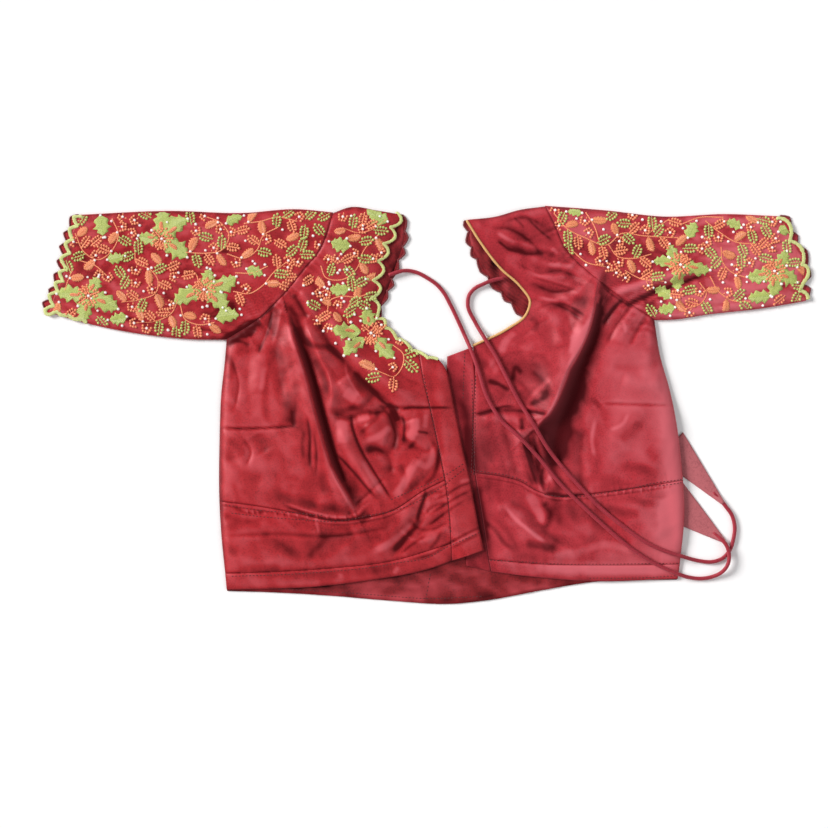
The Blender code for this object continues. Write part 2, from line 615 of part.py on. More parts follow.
def build():
    silk = material("silk", SILK, 0.45)
    silk_pink = material("silk_pink", SILK_PINK, 0.45)
    silk_dark = material("silk_dark", SILK_DARK, 0.6)
    green = material("edging_thread", GREEN_THREAD, 0.6)
    gold = material("gold_piping", GOLD_CLOTH, 0.4, 0.25)
    cord_red = material("cord_silk", CORD_RED, 0.55)
    tassel_cloth = material("tassel_silk", TASSEL_CLOTH, 0.55)

    # Back: a horseshoe of cloth between the outer edge and the deep neck
    outer_run = chain(
        (ARMHOLE_RIGHT, ARMHOLE_CELLS), (BACK_SIDE_RIGHT, BACK_SIDE_CELLS), (BACK_HEM, BACK_HEM_CELLS),
        (BACK_SIDE_LEFT, BACK_SIDE_CELLS), (ARMHOLE_LEFT[::-1], ARMHOLE_CELLS),
    )
    neck_run = chain((BACK_NECK, len(outer_run) - 1))
    first = smooth_path(SHOULDER_RIGHT, 0, SHOULDER_STEPS)
    last = smooth_path(SHOULDER_LEFT, 0, SHOULDER_STEPS)
    back_plane = patch(outer_run, neck_run, first, last, SHOULDER_STEPS)
    lift = tassel_lift(back_plane[..., 0], back_plane[..., 1])
    shell("back", raised(back_plane, WALL + lift), raised(back_plane, lift), silk_dark)
    edging("neck_edging_back", raised(back_plane, WALL + lift)[:, -1], 1, BACK_PITCH, 3, green)

    # Right front, which lies over the left one at the centre
    seam_cells = ARMHOLE_CELLS + SIDE_CELLS - NECK_CELLS
    inner_run = chain((NECKLINE_RIGHT, NECK_CELLS), (PLACKET_SEAM_RIGHT, seam_cells))
    outer_run = chain((ARMHOLE_RIGHT, ARMHOLE_CELLS), (SIDE_RIGHT, SIDE_CELLS))
    seam = chain((BAND_SEAM_RIGHT, FRONT_COLUMNS))
    plane = patch(outer_run, inner_run, chain((SHOULDER_RIGHT, FRONT_COLUMNS)), seam)
    front_right = panel("front_right", "right", plane, silk)
    band_end = chain((PLACKET_SEAM_BAND_RIGHT, BAND_ROWS))
    hem_line = chain((HEM_SEAM_RIGHT, FRONT_COLUMNS))
    plane = patch(chain((BAND_SIDE_RIGHT, BAND_ROWS)), band_end, seam, hem_line)
    panel("waistband_right", "right", plane, silk)
    hem_end = chain((PLACKET_SEAM_HEM_RIGHT, HEM_ROWS))
    hem_fold = chain((HEM_EDGE_RIGHT, FRONT_COLUMNS))
    plane = patch(chain((HEM_SIDE_RIGHT, HEM_ROWS)), hem_end, hem_line, hem_fold)
    panel("hem_right", "right", plane, silk)
    placket_left_edge = np.concatenate([inner_run[NECK_CELLS:], band_end[1:], hem_end[1:]])
    placket_right_edge = chain((CENTRE_EDGE_RIGHT, len(placket_left_edge) - 1))
    ends = np.linspace(0, 1, PLACKET_COLUMNS + 1)[:, None]
    plane = patch(
        placket_left_edge, placket_right_edge,
        placket_left_edge[0] * (1 - ends) + placket_right_edge[0] * ends,
        placket_left_edge[-1] * (1 - ends) + placket_right_edge[-1] * ends,
    )
    placket_right = panel("placket_right", "right", plane, silk)
    border = np.concatenate([front_right[: NECK_CELLS + 1, -1], placket_right[0, 1:]])
    edging("neck_edging_front", border, 1, NECK_PITCH, 4, green)

    # Left front, under the right one at the centre
    inner_run = chain((NECKLINE_LEFT, NECK_CELLS + 2), (PLACKET_SEAM_LEFT, seam_cells - 2))
    outer_run = chain((ARMHOLE_LEFT, ARMHOLE_CELLS), (SIDE_LEFT, SIDE_CELLS))
    seam = chain((BAND_SEAM_LEFT, FRONT_COLUMNS))
    plane = patch(outer_run, inner_run, chain((SHOULDER_LEFT, FRONT_COLUMNS)), seam)
    front_left = panel("front_left", "left", plane, silk_pink)
    band_end = chain((PLACKET_SEAM_BAND_LEFT, BAND_ROWS))
    hem_line = chain((HEM_SEAM_LEFT, FRONT_COLUMNS))
    plane = patch(chain((BAND_SIDE_LEFT, BAND_ROWS)), band_end, seam, hem_line)
    panel("waistband_left", "left", plane, silk_pink)
    hem_end = chain((PLACKET_SEAM_HEM_LEFT, HEM_ROWS))
    hem_fold = chain((HEM_EDGE_LEFT, FRONT_COLUMNS))
    plane = patch(chain((HEM_SIDE_LEFT, HEM_ROWS)), hem_end, hem_line, hem_fold)
    panel("hem_left", "left", plane, silk_pink)
    placket_right_edge = np.concatenate([inner_run[NECK_CELLS + 2 :], band_end[1:], hem_end[1:]])
    placket_left_edge = chain((CENTRE_EDGE_LEFT, len(placket_right_edge) - 1))
    plane = patch(
        placket_right_edge, placket_left_edge,
        placket_right_edge[0] * (1 - ends) + placket_left_edge[0] * ends,
        placket_right_edge[-1] * (1 - ends) + placket_left_edge[-1] * ends,
    )
    panel("placket_left", "left", plane, silk_pink)
    border = front_left[: NECK_CELLS + 3, -1]
    piped = border + 0
    piped[:, :2] += sideways(border, -1) * (SEAM_GAP + PIPING_DIAMETER / 2)
    piped[:, 2] = np.maximum(piped[:, 2] - WALL / 2, UPPER_REST)
    tube("neck_piping", resample(piped, 30)[0], PIPING_DIAMETER, gold, 1)

    # Sleeves, flattened tubes with scalloped ends
    plane = patch(
        chain((SLEEVE_TOP_RIGHT, SLEEVE_RINGS)), chain((SLEEVE_UNDER_RIGHT, SLEEVE_RINGS)),
        chain((ARMHOLE_RIGHT, ARMHOLE_CELLS)), chain((CUFF_RIGHT, ARMHOLE_CELLS)),
    )
    upper = sleeve("sleeve_right", "right", plane, silk)
    cuff_edging("cuff_edging_right", upper[-1], -1, green)
    plane = patch(
        chain((SLEEVE_TOP_LEFT, SLEEVE_RINGS)), chain((SLEEVE_UNDER_LEFT, SLEEVE_RINGS)),
        chain((ARMHOLE_LEFT, ARMHOLE_CELLS)), chain((CUFF_LEFT, ARMHOLE_CELLS)),
    )
    upper = sleeve("sleeve_left", "left", plane, silk_pink)
    cuff_edging("cuff_edging_left", upper[-1], 1, green)

    for name, shape in TASSELS.items():
        tassel(name, shape, tassel_cloth)

    # Tie cords, laid on whatever is under them
    bpy.context.view_layer.update()
    below = ["back", "neck_edging_back", "front_left", "waistband_left", "hem_left", "placket_left"]
    trees = trees_of(below + ["neck_piping"])
    for name, route in CORD_ROUTES.items():
        rough = smooth_path(route, 400)
        length = np.linalg.norm(np.diff(rough, axis=0), axis=1).sum()
        plane = smooth_path(route, round(length / CORD_STEP))
        heights = cord_heights(plane, trees, name == "cord_right")
        tube(name, raised(plane, heights), CORD_DIAMETER, cord_red, 2)


for old in list(bpy.data.objects):
    bpy.data.objects.remove(old, do_unlink=True)
BLOUSE = bpy.data.collections.new("choli_blouse")
bpy.context.scene.collection.children.link(BLOUSE)
build()
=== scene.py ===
import math
import random

import bmesh
import bpy
import numpy as np
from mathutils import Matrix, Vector
from mathutils.bvhtree import BVHTree


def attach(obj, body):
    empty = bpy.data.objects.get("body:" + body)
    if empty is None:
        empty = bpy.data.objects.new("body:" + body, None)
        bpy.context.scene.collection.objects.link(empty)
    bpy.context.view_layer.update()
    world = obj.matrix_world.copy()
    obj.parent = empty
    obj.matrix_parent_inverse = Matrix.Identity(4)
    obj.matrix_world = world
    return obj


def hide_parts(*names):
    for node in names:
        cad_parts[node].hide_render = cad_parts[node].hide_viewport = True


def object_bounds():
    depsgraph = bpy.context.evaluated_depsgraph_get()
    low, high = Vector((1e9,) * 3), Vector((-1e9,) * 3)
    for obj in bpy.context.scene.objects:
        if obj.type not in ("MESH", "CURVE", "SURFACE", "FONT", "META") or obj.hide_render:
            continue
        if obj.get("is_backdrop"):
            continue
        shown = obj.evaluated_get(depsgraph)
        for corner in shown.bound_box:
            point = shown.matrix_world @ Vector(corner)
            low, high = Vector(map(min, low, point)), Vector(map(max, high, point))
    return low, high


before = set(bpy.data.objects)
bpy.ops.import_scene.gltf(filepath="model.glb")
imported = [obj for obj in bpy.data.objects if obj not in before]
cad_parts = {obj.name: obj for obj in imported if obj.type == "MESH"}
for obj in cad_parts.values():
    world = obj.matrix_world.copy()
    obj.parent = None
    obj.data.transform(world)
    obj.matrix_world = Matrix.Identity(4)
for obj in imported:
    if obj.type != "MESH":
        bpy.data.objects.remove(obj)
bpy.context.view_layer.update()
print("frame loaded:", len(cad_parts), "nodes")

# The tables are in millimetres; this moves them under the middle of the laid blouse
tableOrigin = {"x": -1.29, "y": 0.71}
cloth = {
    "wall": 1.2,
    "thin": 0.9,  # cloth drawn here, inside the wall of the solid
    "seamGap": 0.3,
    "fineStep": 1.4,  # grid of the fronts and sleeves
    "bodyFullness": 5.2,
    "sleeveFullness": 3.9,
    "foldRadius": 5.2,
    "freeRadius": 20.0,
    "overlapRise": 2.0,
    "tasselLift": 2.8,
}
cloth["rest"] = 2 * cloth["wall"] + cloth["seamGap"]

# Cut edges and seams of the wearer's right half, which is on -X
rightEdges = {
    "armhole": [(-93, 186.5), (-99, 164.5), (-106, 149), (-118.3, 134.3), (-143.5, 104),
                (-163.3, 84.8), (-196, 64)],
    "shoulder": [(-93, 186.5), (-76.3, 192.2), (-48.5, 188.7), (-26, 185)],
    "side": [(-196, 64), (-198, 41), (-201.4, 10), (-202.4, -40), (-202, -92.5)],
    "bandSide": [(-202, -92.5), (-201.2, -122.5), (-197.5, -162.4)],
    "hemSide": [(-197.5, -162.4), (-196, -178.6)],
    "neckline": [(-26, 185), (-34, 167.5), (-44.5, 139.5), (-50, 113), (-48.5, 91),
                 (-32.5, 69), (-10, 51.5)],
    "placketSeam": [(-10, 51.5), (-6, 28), (1.5, -4), (7.7, -33), (15.5, -72)],
    "placketBand": [(15.5, -72), (19.8, -105), (21.5, -133.5)],
    "placketHem": [(21.5, -133.5), (22, -150.5)],
    "centre": [(9, 45), (15.5, 37), (21, 17), (25.8, -7.3), (32.3, -39.3), (39.5, -71.6),
               (46.8, -110), (53.2, -140)],
    "bandSeam": [(-202, -92.5), (-169, -96.5), (-134, -102.6), (-86, -111.3), (-61.7, -108.6),
                 (-36, -101.8), (-4.6, -82), (15.5, -72)],
    "hemSeam": [(-197.5, -162.4), (-143, -160.5), (-91, -157), (-39, -151), (21.5, -133.5)],
    "hemEdge": [(-196, -178.6), (-108.6, -175.4), (-56.6, -169.3), (3.9, -157.1), (22, -150.5)],
    "sleeveTop": [(-93, 186.5), (-128, 189.6), (-180, 186), (-251.7, 188), (-338, 184.3)],
    "sleeveUnder": [(-196, 64), (-230, 64.5), (-261, 67.4), (-305.6, 74.5), (-350.5, 85.6),
                    (-368, 91)],
    "cuff": [(-338, 184.3), (-346, 168), (-350.5, 148), (-354.5, 128), (-362, 110),
             (-368, 91)],
}
leftEdges = {
    "armhole": [(112.5, 193), (122, 173), (131, 152.5), (152.2, 130), (184.9, 104.5), (218.3, 83)],
    "shoulder": [(112.5, 193), (87.3, 189.5), (65, 183.2), (37, 180)],
    "side": [(218.3, 83), (224, 48), (233, 16), (241, -28), (245.6, -72)],
    "bandSide": [(245.6, -72), (247, -98), (243, -153.5)],
    "hemSide": [(243, -153.5), (241, -168)],
    "neckline": [(37, 180), (50.5, 158.5), (70.8, 132.5), (88.5, 116.5), (98.6, 100.5), (94.5, 87.5),
                 (76.4, 73.5), (42.5, 57)],
    "placketSeam": [(42.5, 57), (44.5, 33), (43.5, 0), (43, -36), (44.5, -65)],
    "placketBand": [(44.5, -65), (50, -98), (58, -149)],
    "placketHem": [(58, -149), (60.4, -161)],
    "centre": [(17.5, 47.5), (17, 30), (18.5, -10), (24.5, -66), (33, -132), (36.3, -155.3)],
    "bandSeam": [(245.6, -72), (200.7, -79.2), (149.3, -86), (121.5, -87.5), (103.7, -82),
                 (89.8, -73.8), (70, -68.3), (44.5, -65)],
    "hemSeam": [(243, -153.5), (168.8, -154.4), (109.6, -153.5), (58, -149)],
    "hemEdge": [(241, -168), (155.2, -170.2), (97.4, -165.7), (60.4, -161)],
    "sleeveTop": [(112.5, 193), (171, 188.6), (228.4, 182.6), (286.9, 185), (339, 183)],
    "sleeveUnder": [(218.3, 83), (236.4, 83.6), (270.5, 88.7), (322, 94.6), (365, 102)],
    "cuff": [(339, 183), (348, 170), (353.5, 157), (361, 145), (365, 134), (361, 119),
             (365, 102)],
}
edges = {"right": rightEdges, "left": leftEdges}
backEdges = {
    "sideRight": [(-196, 64), (-198, 41), (-201.4, 10), (-203.2, -40), (-203.2, -92.5),
                  (-201.6, -122.5), (-197.2, -166), (-195.6, -179.8)],
    "hem": [(-195.6, -179.8), (-146.5, -181.4), (-91, -184.8), (-39, -189.2), (23.3, -192.3),
            (55.3, -189.1), (109.6, -179.2), (155.2, -171.6), (240.6, -168.8)],
    "sideLeft": [(240.6, -168.8), (243.7, -144), (247.2, -97.5), (245.9, -72), (241, -28),
                 (233, 16), (224, 48), (218.3, 83)],
    "neck": [(-26, 185), (-23.5, 168), (-25.5, 155), (-32, 136), (-39.5, 114), (-47, 97),
             (-57, 66), (-62.5, 25), (-59, -20), (-38, -56), (18, -74), (72, -56),
             (97, -18), (103, 22), (102, 58), (94, 84), (71, 109.5), (53, 131),
             (41.5, 154), (37, 180)],
}


def smoothPath(rows, cells):
    # Points at even distances along a smooth curve through the rows
    points = np.array(rows, float)
    steps = np.linalg.norm(np.diff(points, axis=0), axis=1)
    stations = np.concatenate([[0.0], np.cumsum(steps)])
    slopes = np.diff(points, axis=0) / steps[:, None]
    tangents = np.empty_like(points)
    tangents[0], tangents[-1] = slopes[0], slopes[-1]
    before, after = steps[:-1, None], steps[1:, None]
    tangents[1:-1] = (slopes[:-1] * after + slopes[1:] * before) / (before + after)
    at = np.linspace(0.0, stations[-1], cells + 1)
    row = np.clip(np.searchsorted(stations, at, side="right") - 1, 0, len(steps) - 1)
    span = steps[row][:, None]
    t = (at - stations[row])[:, None] / span
    return (
        (2 * t**3 - 3 * t**2 + 1) * points[row]
        + (t**3 - 2 * t**2 + t) * span * tangents[row]
        + (3 * t**2 - 2 * t**3) * points[row + 1]
        + (t**3 - t**2) * span * tangents[row + 1]
    )


def chain(*parts):
    runs = [smoothPath(rows, cells) for rows, cells in parts]
    return np.concatenate([runs[0]] + [run[1:] for run in runs[1:]])


def lengthOf(run):
    return np.linalg.norm(np.diff(np.asarray(run, float)[:, :2], axis=0), axis=1).sum()


def eased(value):
    t = np.clip(value, 0.0, 1.0)
    return t * t * (3 - 2 * t)


def nearestOn(run, x, y):
    # Distance to a run of points, the distance along it, and which side (+1 is its left)
    best = np.full(np.shape(x), 1e9)
    along = np.zeros(np.shape(x))
    hand = np.ones(np.shape(x))
    start = 0.0
    for (ax, ay), (bx, by) in zip(run[:-1], run[1:]):
        dx, dy = bx - ax, by - ay
        length = math.hypot(dx, dy)
        t = np.clip(((x - ax) * dx + (y - ay) * dy) / length**2, 0.0, 1.0)
        away = np.hypot(x - ax - t * dx, y - ay - t * dy)
        closer = away < best
        best = np.where(closer, away, best)
        along = np.where(closer, start + t * length, along)
        hand = np.where(closer, np.sign(dx * (y - ay) - dy * (x - ax)), hand)
        start += length
    return best, along, hand


def distanceTo(runs, x, y):
    best = np.full(np.shape(x), 1e9)
    for run in runs:
        best = np.minimum(best, nearestOn(run, x, y)[0])
    return best


def acrossAt(run, y):
    order = np.argsort(run[:, 1])
    return np.interp(y, run[order, 1], run[order, 0])


def creaseNoise(x, y, seed):
    # Smooth noise between about -0.7 and 0.7
    cellX, cellY = np.floor(x), np.floor(y)
    fx, fy = x - cellX, y - cellY
    blendX, blendY = fx**3 * (fx * (fx * 6 - 15) + 10), fy**3 * (fy * (fy * 6 - 15) + 10)

    def corner(i, j):
        turn = np.sin((cellX + i) * 127.1 + (cellY + j) * 311.7 + seed * 74.7) * 43758.5453
        turn = (turn - np.floor(turn)) * 2 * math.pi
        return np.cos(turn) * (fx - i) + np.sin(turn) * (fy - j)

    low = corner(0, 0) * (1 - blendX) + corner(1, 0) * blendX
    high = corner(0, 1) * (1 - blendX) + corner(1, 1) * blendX
    return low * (1 - blendY) + high * blendY


def crumple(x, y, seed):
    # Crisp, shallow facets of stiff silk, broad ones and small ones
    bendX = x + 6 * creaseNoise(x / 30, y / 30, seed + 13)
    bendY = y + 6 * creaseNoise(x / 30 + 9, y / 30, seed + 17)
    broad = 1 - 2 * np.abs(creaseNoise(bendX / 40 + 3.1, bendY / 34 - 1.7, seed))
    mid = 1 - 2 * np.abs(creaseNoise(bendX / 19 - y / 60, bendY / 15 + x / 80, seed + 5))
    small = creaseNoise(x / 9, y / 8, seed + 9)
    return 0.62 * broad + 0.3 * mid + 0.06 * small - 0.5


# Folds of the two halves: height, width (or one for each hand of the path), sharpness, then x and y
# of each point of the path; a negative height is a hollow
rightFolds = [
    (9.8, (2.3, 18), 1.3, -137, 88, -131, 66, -123, 43, -117, 24, -112, 2, -107, -16, -101, -38, -95, -56,
     -87, -74, -77, -92, -73, -100),
    (-4.3, (5.5, 5), 2.2, -123, 56, -112, 20, -104, -10, -97, -36, -89, -60, -80, -80),
    (4.6, (7, 4), 1.5, -118, 78, -104, 46, -95, 26, -93, 8, -96, -8),
    (-3.2, (4, 5), 1.6, -112, 96, -98, 62, -80, 40, -58, 18, -35, -1, -24, -26),
    (3.6, (6, 5), 1.6, -96, 84, -74, 52, -52, 32, -30, 14, -14, 4),
    (-2.6, (4, 5), 1.6, -100, 106, -72, 70, -44, 44), (4.2, (12, 5), 2, -86, 26, -74, 10, -62, 0),
    (-3.6, (3.5, 4), 1.6, -92, -8, -80, -12, -62, -8, -42, -6),
    (3.8, (9, 5.5), 1.7, -84, -20, -79, -38, -66, -62, -48, -88),
    (-1.3, (1.6, 2), 1.5, -75, -10, -71, -30, -60, -54, -37, -90),
    (2.8, (8, 6), 1.8, -60, -16, -50, -30, -40, -34), (-3.4, (4, 5), 1.6, -48, 2, -38, -12, -33, -30, -36, -44),
    (-3, 5, 1.7, -62, -44, -50, -42, -40, -50, -36, -66), (2.6, (7, 8), 1.8, -16, -12, -12, -24, -18, -34),
    (-2.4, 4, 1.5, -26, -30, -14, -40, -2, -44, 6, -36),
    (1.9, (7, 6), 1.7, -30, -84, -18, -66, -6, -50, 4, -44), (-1.4, (4, 5), 1.6, -28, -56, -22, -70, -26, -84),
    (-1.5, (5, 4), 1.6, 12, -36, 8, -54, -6, -72, -24, -86), (-1.9, (1.9, 2.4), 1.5, -46, -1, -22, -2, 2, -2),
    (-1.4, (1.4, 1.8), 1.4, -201, -22, -168, -22, -131, -20), (-1, (2.4, 2.8), 1.7, -131, -4, -130, -20),
    (-1.5, (1.5, 2.4), 1.4, -117, -12, -114, -34, -115, -60),
    (-1.3, (1.5, 2), 1.4, -110, -26, -108, -44, -109, -68), (-1.5, 9, 2, -168, -28, -158, -46),
    (1.1, (6, 8), 1.8, -160, 52, -164, 34, -161, 12), (-1, (6, 8), 1.8, -172, 60, -176, 30, -172, -6),
    (0.7, (7, 5), 1.8, -142, 66, -134, 30, -128, 2), (-1, 6, 1.8, -150, 80, -146, 40, -140, 4),
    (1.3, (9, 8), 1.9, -194, -62, -160, -58, -118, -66), (-1.3, 6, 1.8, -196, -46, -184, -60, -160, -76),
    (-1.6, (5, 7), 1.8, -150, -86, -118, -92, -84, -104), (2, (6, 7), 1.8, -110, -98, -92, -88, -76, -96),
    (-2.2, (4, 5), 1.5, -79, -102, -66, -112, -56, -104),
    (-2.8, (6, 8), 1.6, 2, -92, -14, -112, -28, -136, -38, -150),
    (2.4, (8, 7), 1.8, -14, -98, -32, -118, -50, -142), (-1.3, (6, 7), 1.7, -162, -122, -140, -136, -119, -147),
    (-1.1, 6, 1.7, -119, -147, -104, -134, -92, -120), (1.5, 7, 1.8, -96, -148, -78, -136, -66, -120),
    (-1.2, 2.5, 1.6, -196, -126, -150, -124, -90, -126, -40, -118),
    (-1.3, (4, 5), 1.7, -200, -106, -178, -112, -158, -110), (1.2, 5, 1.8, -190, -148, -160, -152, -140, -148),
    (-1.4, 4, 1.7, -12, -126, 4, -112, 16, -104), (1.3, (4, 5), 1.8, -4, -132, 10, -122, 18, -116),
    (-1.5, (2, 2.6), 1.4, -72, -96, -58, -84, -44, -70), (-0.9, (2.2, 3), 1.4, -36, 40, -22, 26, -8, 20),
    (0.8, 3, 1.5, -44, 30, -30, 16, -16, 12), (-1.4, (2, 2.4), 1.4, -8, -92, 4, -84, 16, -84),
    (-1.4, (2, 2.8), 1.4, -4, -104, 8, -96, 18, -94),
    (-1.5, (2, 2.8), 1.4, -20, -110, -6, -120, 8, -118, 18, -112),
    (1.2, 2.6, 1.5, -28, -120, -14, -130, 4, -130), (-1.3, (2, 3), 1.5, -190, -96, -176, -104, -156, -102),
    (-1.2, (2.4, 3), 1.5, -190, 44, -184, 20, -188, -4), (-1.2, (2, 3), 1.5, -180, -32, -172, -44, -176, -58),
    (-1.4, (2, 2.6), 1.4, -196, 58, -184, 62, -172, 58), (-1.4, (2, 2.6), 1.4, -192, 66, -178, 74, -166, 72),
    (-1.3, (2, 2.6), 1.4, -186, 74, -174, 82, -162, 80),
    (2.2, (9, 7), 1.8, -104, 162, -88, 140, -66, 118, -54, 96), (-1.5, 6, 1.8, -80, 178, -68, 156, -58, 138),
    (-2, 5, 1.6, -118, 128, -106, 108, -96, 88), (2.2, (4, 5), 1.6, -124, 112, -112, 92, -104, 76),
    (-2.6, 3.5, 1.5, -131, 108, -124, 96, -117, 84), (-1.2, (3, 4), 1.6, -150, 96, -156, 76, -166, 50),
    (1, 4, 1.6, -140, 96, -146, 72, -150, 56), (1.5, 9, 1.8, -216, 152, -176, 140, -130, 118),
    (-1.8, (6, 7), 1.7, -262, 108, -220, 92, -178, 76), (-1.5, (7, 8), 1.8, -344, 146, -306, 140, -268, 146),
    (1.3, 8, 1.8, -336, 118, -300, 112, -258, 104), (1.2, 8, 1.8, -290, 174, -252, 166, -212, 168),
    (-1.9, (6, 7), 1.7, -250, 134, -214, 124, -176, 110), (1.6, 6, 1.7, -240, 118, -206, 112, -172, 100),
    (-1.5, 7, 1.8, -200, 178, -168, 170, -132, 160), (-1.8, (2.6, 3.2), 1.5, -240, 76, -214, 73, -186, 68),
    (-1.3, (2.6, 3.2), 1.6, -334, 94, -296, 85, -250, 76),
]
leftFolds = [
    (10.5, (2.8, 20), 1.3, 168, 132, 162, 116, 157, 88, 150, 64, 133, 34, 116, -6, 101, -22),
    (-5.6, (16, 9), 2, 166, 92, 154, 56, 138, 12, 124, -28, 116, -70),
    (3.8, 5, 1.5, 86, -22, 91, -43, 101, -66, 113, -88), (-3.6, 4, 1.6, 95, -30, 101, -54, 112, -80),
    (2.2, 4, 1.6, 104, -26, 112, -54, 122, -82), (-2.2, (2.2, 3), 1.5, 44, -8, 62, -5, 86, -5, 112, -9),
    (1.9, (5, 6), 1.8, 50, -14, 72, -12, 92, -16), (1.3, 9, 1.9, 92, 62, 112, 38, 120, 10),
    (-1.2, (5, 6), 1.7, 78, 30, 96, 14, 104, -8), (1, 6, 1.8, 62, 36, 78, 16, 84, -2),
    (-1.3, (1.4, 1.8), 1.4, 168, 2, 200, 1, 236, 0), (-1.2, 7, 2, 164, 4, 160, 0),
    (-2, (2.4, 2.6), 1.5, 190, 104, 178, 92, 168, 77), (2.2, (10, 8), 1.8, 72, 174, 98, 160, 132, 148),
    (-2.2, 6, 1.6, 60, 160, 88, 150, 126, 136), (1.9, 6, 1.7, 80, 148, 104, 142, 138, 128),
    (-1.9, 5, 1.6, 96, 134, 122, 130, 146, 118), (1.8, (6, 5), 1.7, 104, 124, 128, 118, 148, 104),
    (-1.6, 6, 1.8, 84, 184, 104, 176, 124, 164), (-2, 6, 1.7, 110, 112, 130, 92, 140, 66),
    (1.8, (7, 6), 1.8, 104, 100, 122, 80, 126, 56), (1.3, 6, 1.7, 206, 92, 192, 78, 182, 60),
    (-1.3, (3, 4), 1.6, 212, 86, 202, 74, 194, 58), (1, 7, 1.8, 216, 72, 212, 52, 206, 26),
    (-1.2, (3, 4), 1.6, 196, 96, 182, 80, 172, 60), (1.2, (10, 9), 1.8, 182, -14, 176, -40, 166, -72),
    (-1, (9, 8), 1.8, 206, -14, 196, -40, 188, -70), (1, (9, 8), 1.8, 230, -14, 222, -40, 214, -72),
    (-2.6, (6, 7), 1.8, 150, -20, 146, -50, 148, -82), (1.5, (7, 8), 1.8, 186, 26, 206, 20, 224, 22),
    (-1.3, 7, 1.8, 176, 38, 204, 36, 226, 40), (1.6, 7, 1.8, 56, -20, 62, -40, 66, -62),
    (-1.7, 5, 1.8, 70, -18, 78, -42, 84, -68), (3.2, 6, 1.6, 66, -96, 84, -104, 98, -122, 116, -138),
    (-2.6, (5, 6), 1.6, 78, -92, 98, -104, 114, -124, 132, -136), (-1.8, 5, 1.7, 62, -108, 76, -122, 88, -142),
    (1.7, 8, 1.8, 124, -94, 136, -112, 160, -126), (-1.6, 8, 1.8, 160, -92, 172, -112, 196, -134),
    (1.4, 8, 1.8, 196, -86, 206, -110, 226, -130), (-1.3, 8, 1.8, 226, -82, 232, -108, 236, -134),
    (1.2, 6, 1.8, 110, -146, 150, -140, 190, -146), (-2, 7, 1.7, 186, 126, 212, 116, 240, 104),
    (1.8, 7, 1.7, 186, 142, 216, 132, 250, 122), (1.5, 9, 1.8, 250, 162, 286, 152, 324, 148),
    (-1.4, 8, 1.8, 260, 132, 296, 124, 334, 126), (-1.2, 7, 1.8, 232, 178, 270, 172, 310, 172),
    (1.2, 8, 1.8, 292, 112, 322, 110, 354, 118), (-1.8, (4, 5), 1.6, 206, 100, 232, 96, 262, 98),
    (-3.3, (3.4, 3), 1.6, 190, 96, 222, 110, 264, 126), (2.9, (4.5, 4), 1.7, 180, 108, 214, 120, 250, 129),
    (-1.4, 3, 1.6, 270, 95, 314, 108, 354, 118), (-1.5, (2.2, 3), 1.4, 58, 172, 78, 170, 98, 158, 112, 142),
    (-1.4, (2, 3), 1.4, 72, 152, 92, 146, 112, 148), (1.3, (3, 3.5), 1.5, 64, 166, 84, 158, 104, 152),
    (-1.6, (2.2, 3), 1.4, 84, 138, 104, 128, 128, 130, 146, 122),
    (1.5, (3, 2.6), 1.4, 92, 132, 112, 124, 134, 124), (-1.4, (2, 2.6), 1.4, 100, 118, 120, 110, 142, 112),
    (1.3, (3, 2.4), 1.4, 100, 108, 118, 102, 136, 104),
    (-1.6, (2.4, 3), 1.4, 104, 92, 118, 98, 134, 92, 146, 82), (-0.8, (2.4, 3), 1.5, 88, 64, 104, 78, 116, 84),
    (0.6, 3, 1.5, 76, 56, 92, 66, 106, 72), (-0.6, (2.4, 3.4), 1.5, 58, 34, 74, 48, 92, 52, 112, 46),
    (-0.6, (2.2, 3), 1.5, 98, 34, 112, 22, 122, 4), (0.5, 3, 1.6, 62, 20, 80, 14, 94, 18),
    (-1.3, (2.2, 2.8), 1.5, 74, 178, 92, 182, 108, 176), (-1.6, (2, 2.4), 1.4, 212, 96, 222, 104, 232, 98),
    (-1.6, (2, 2.4), 1.4, 218, 90, 226, 94, 234, 90), (1.4, 8, 1.8, 126, 174, 156, 166, 184, 166),
    (-1.7, (6, 7), 1.7, 134, 158, 156, 148, 180, 136),
]
foldRows = {"right": rightFolds, "left": leftFolds}
# Broad mounds: middle, reach across and along, height
moundRows = {
    "right": [(-112, 8, 52, 62, 4.6), (-38, 6, 34, 40, 2.4), (-120, -136, 60, 20, 1.2),
              (-84, 17, 12, 11, 1.8), (-90, -36, 10, 20, 1.4), (-8, -18, 12, 12, 1.5)],
    "left": [(116, 20, 42, 60, 4.8), (192, 2, 34, 60, 3.2), (140, -118, 60, 20, 1.2)],
}

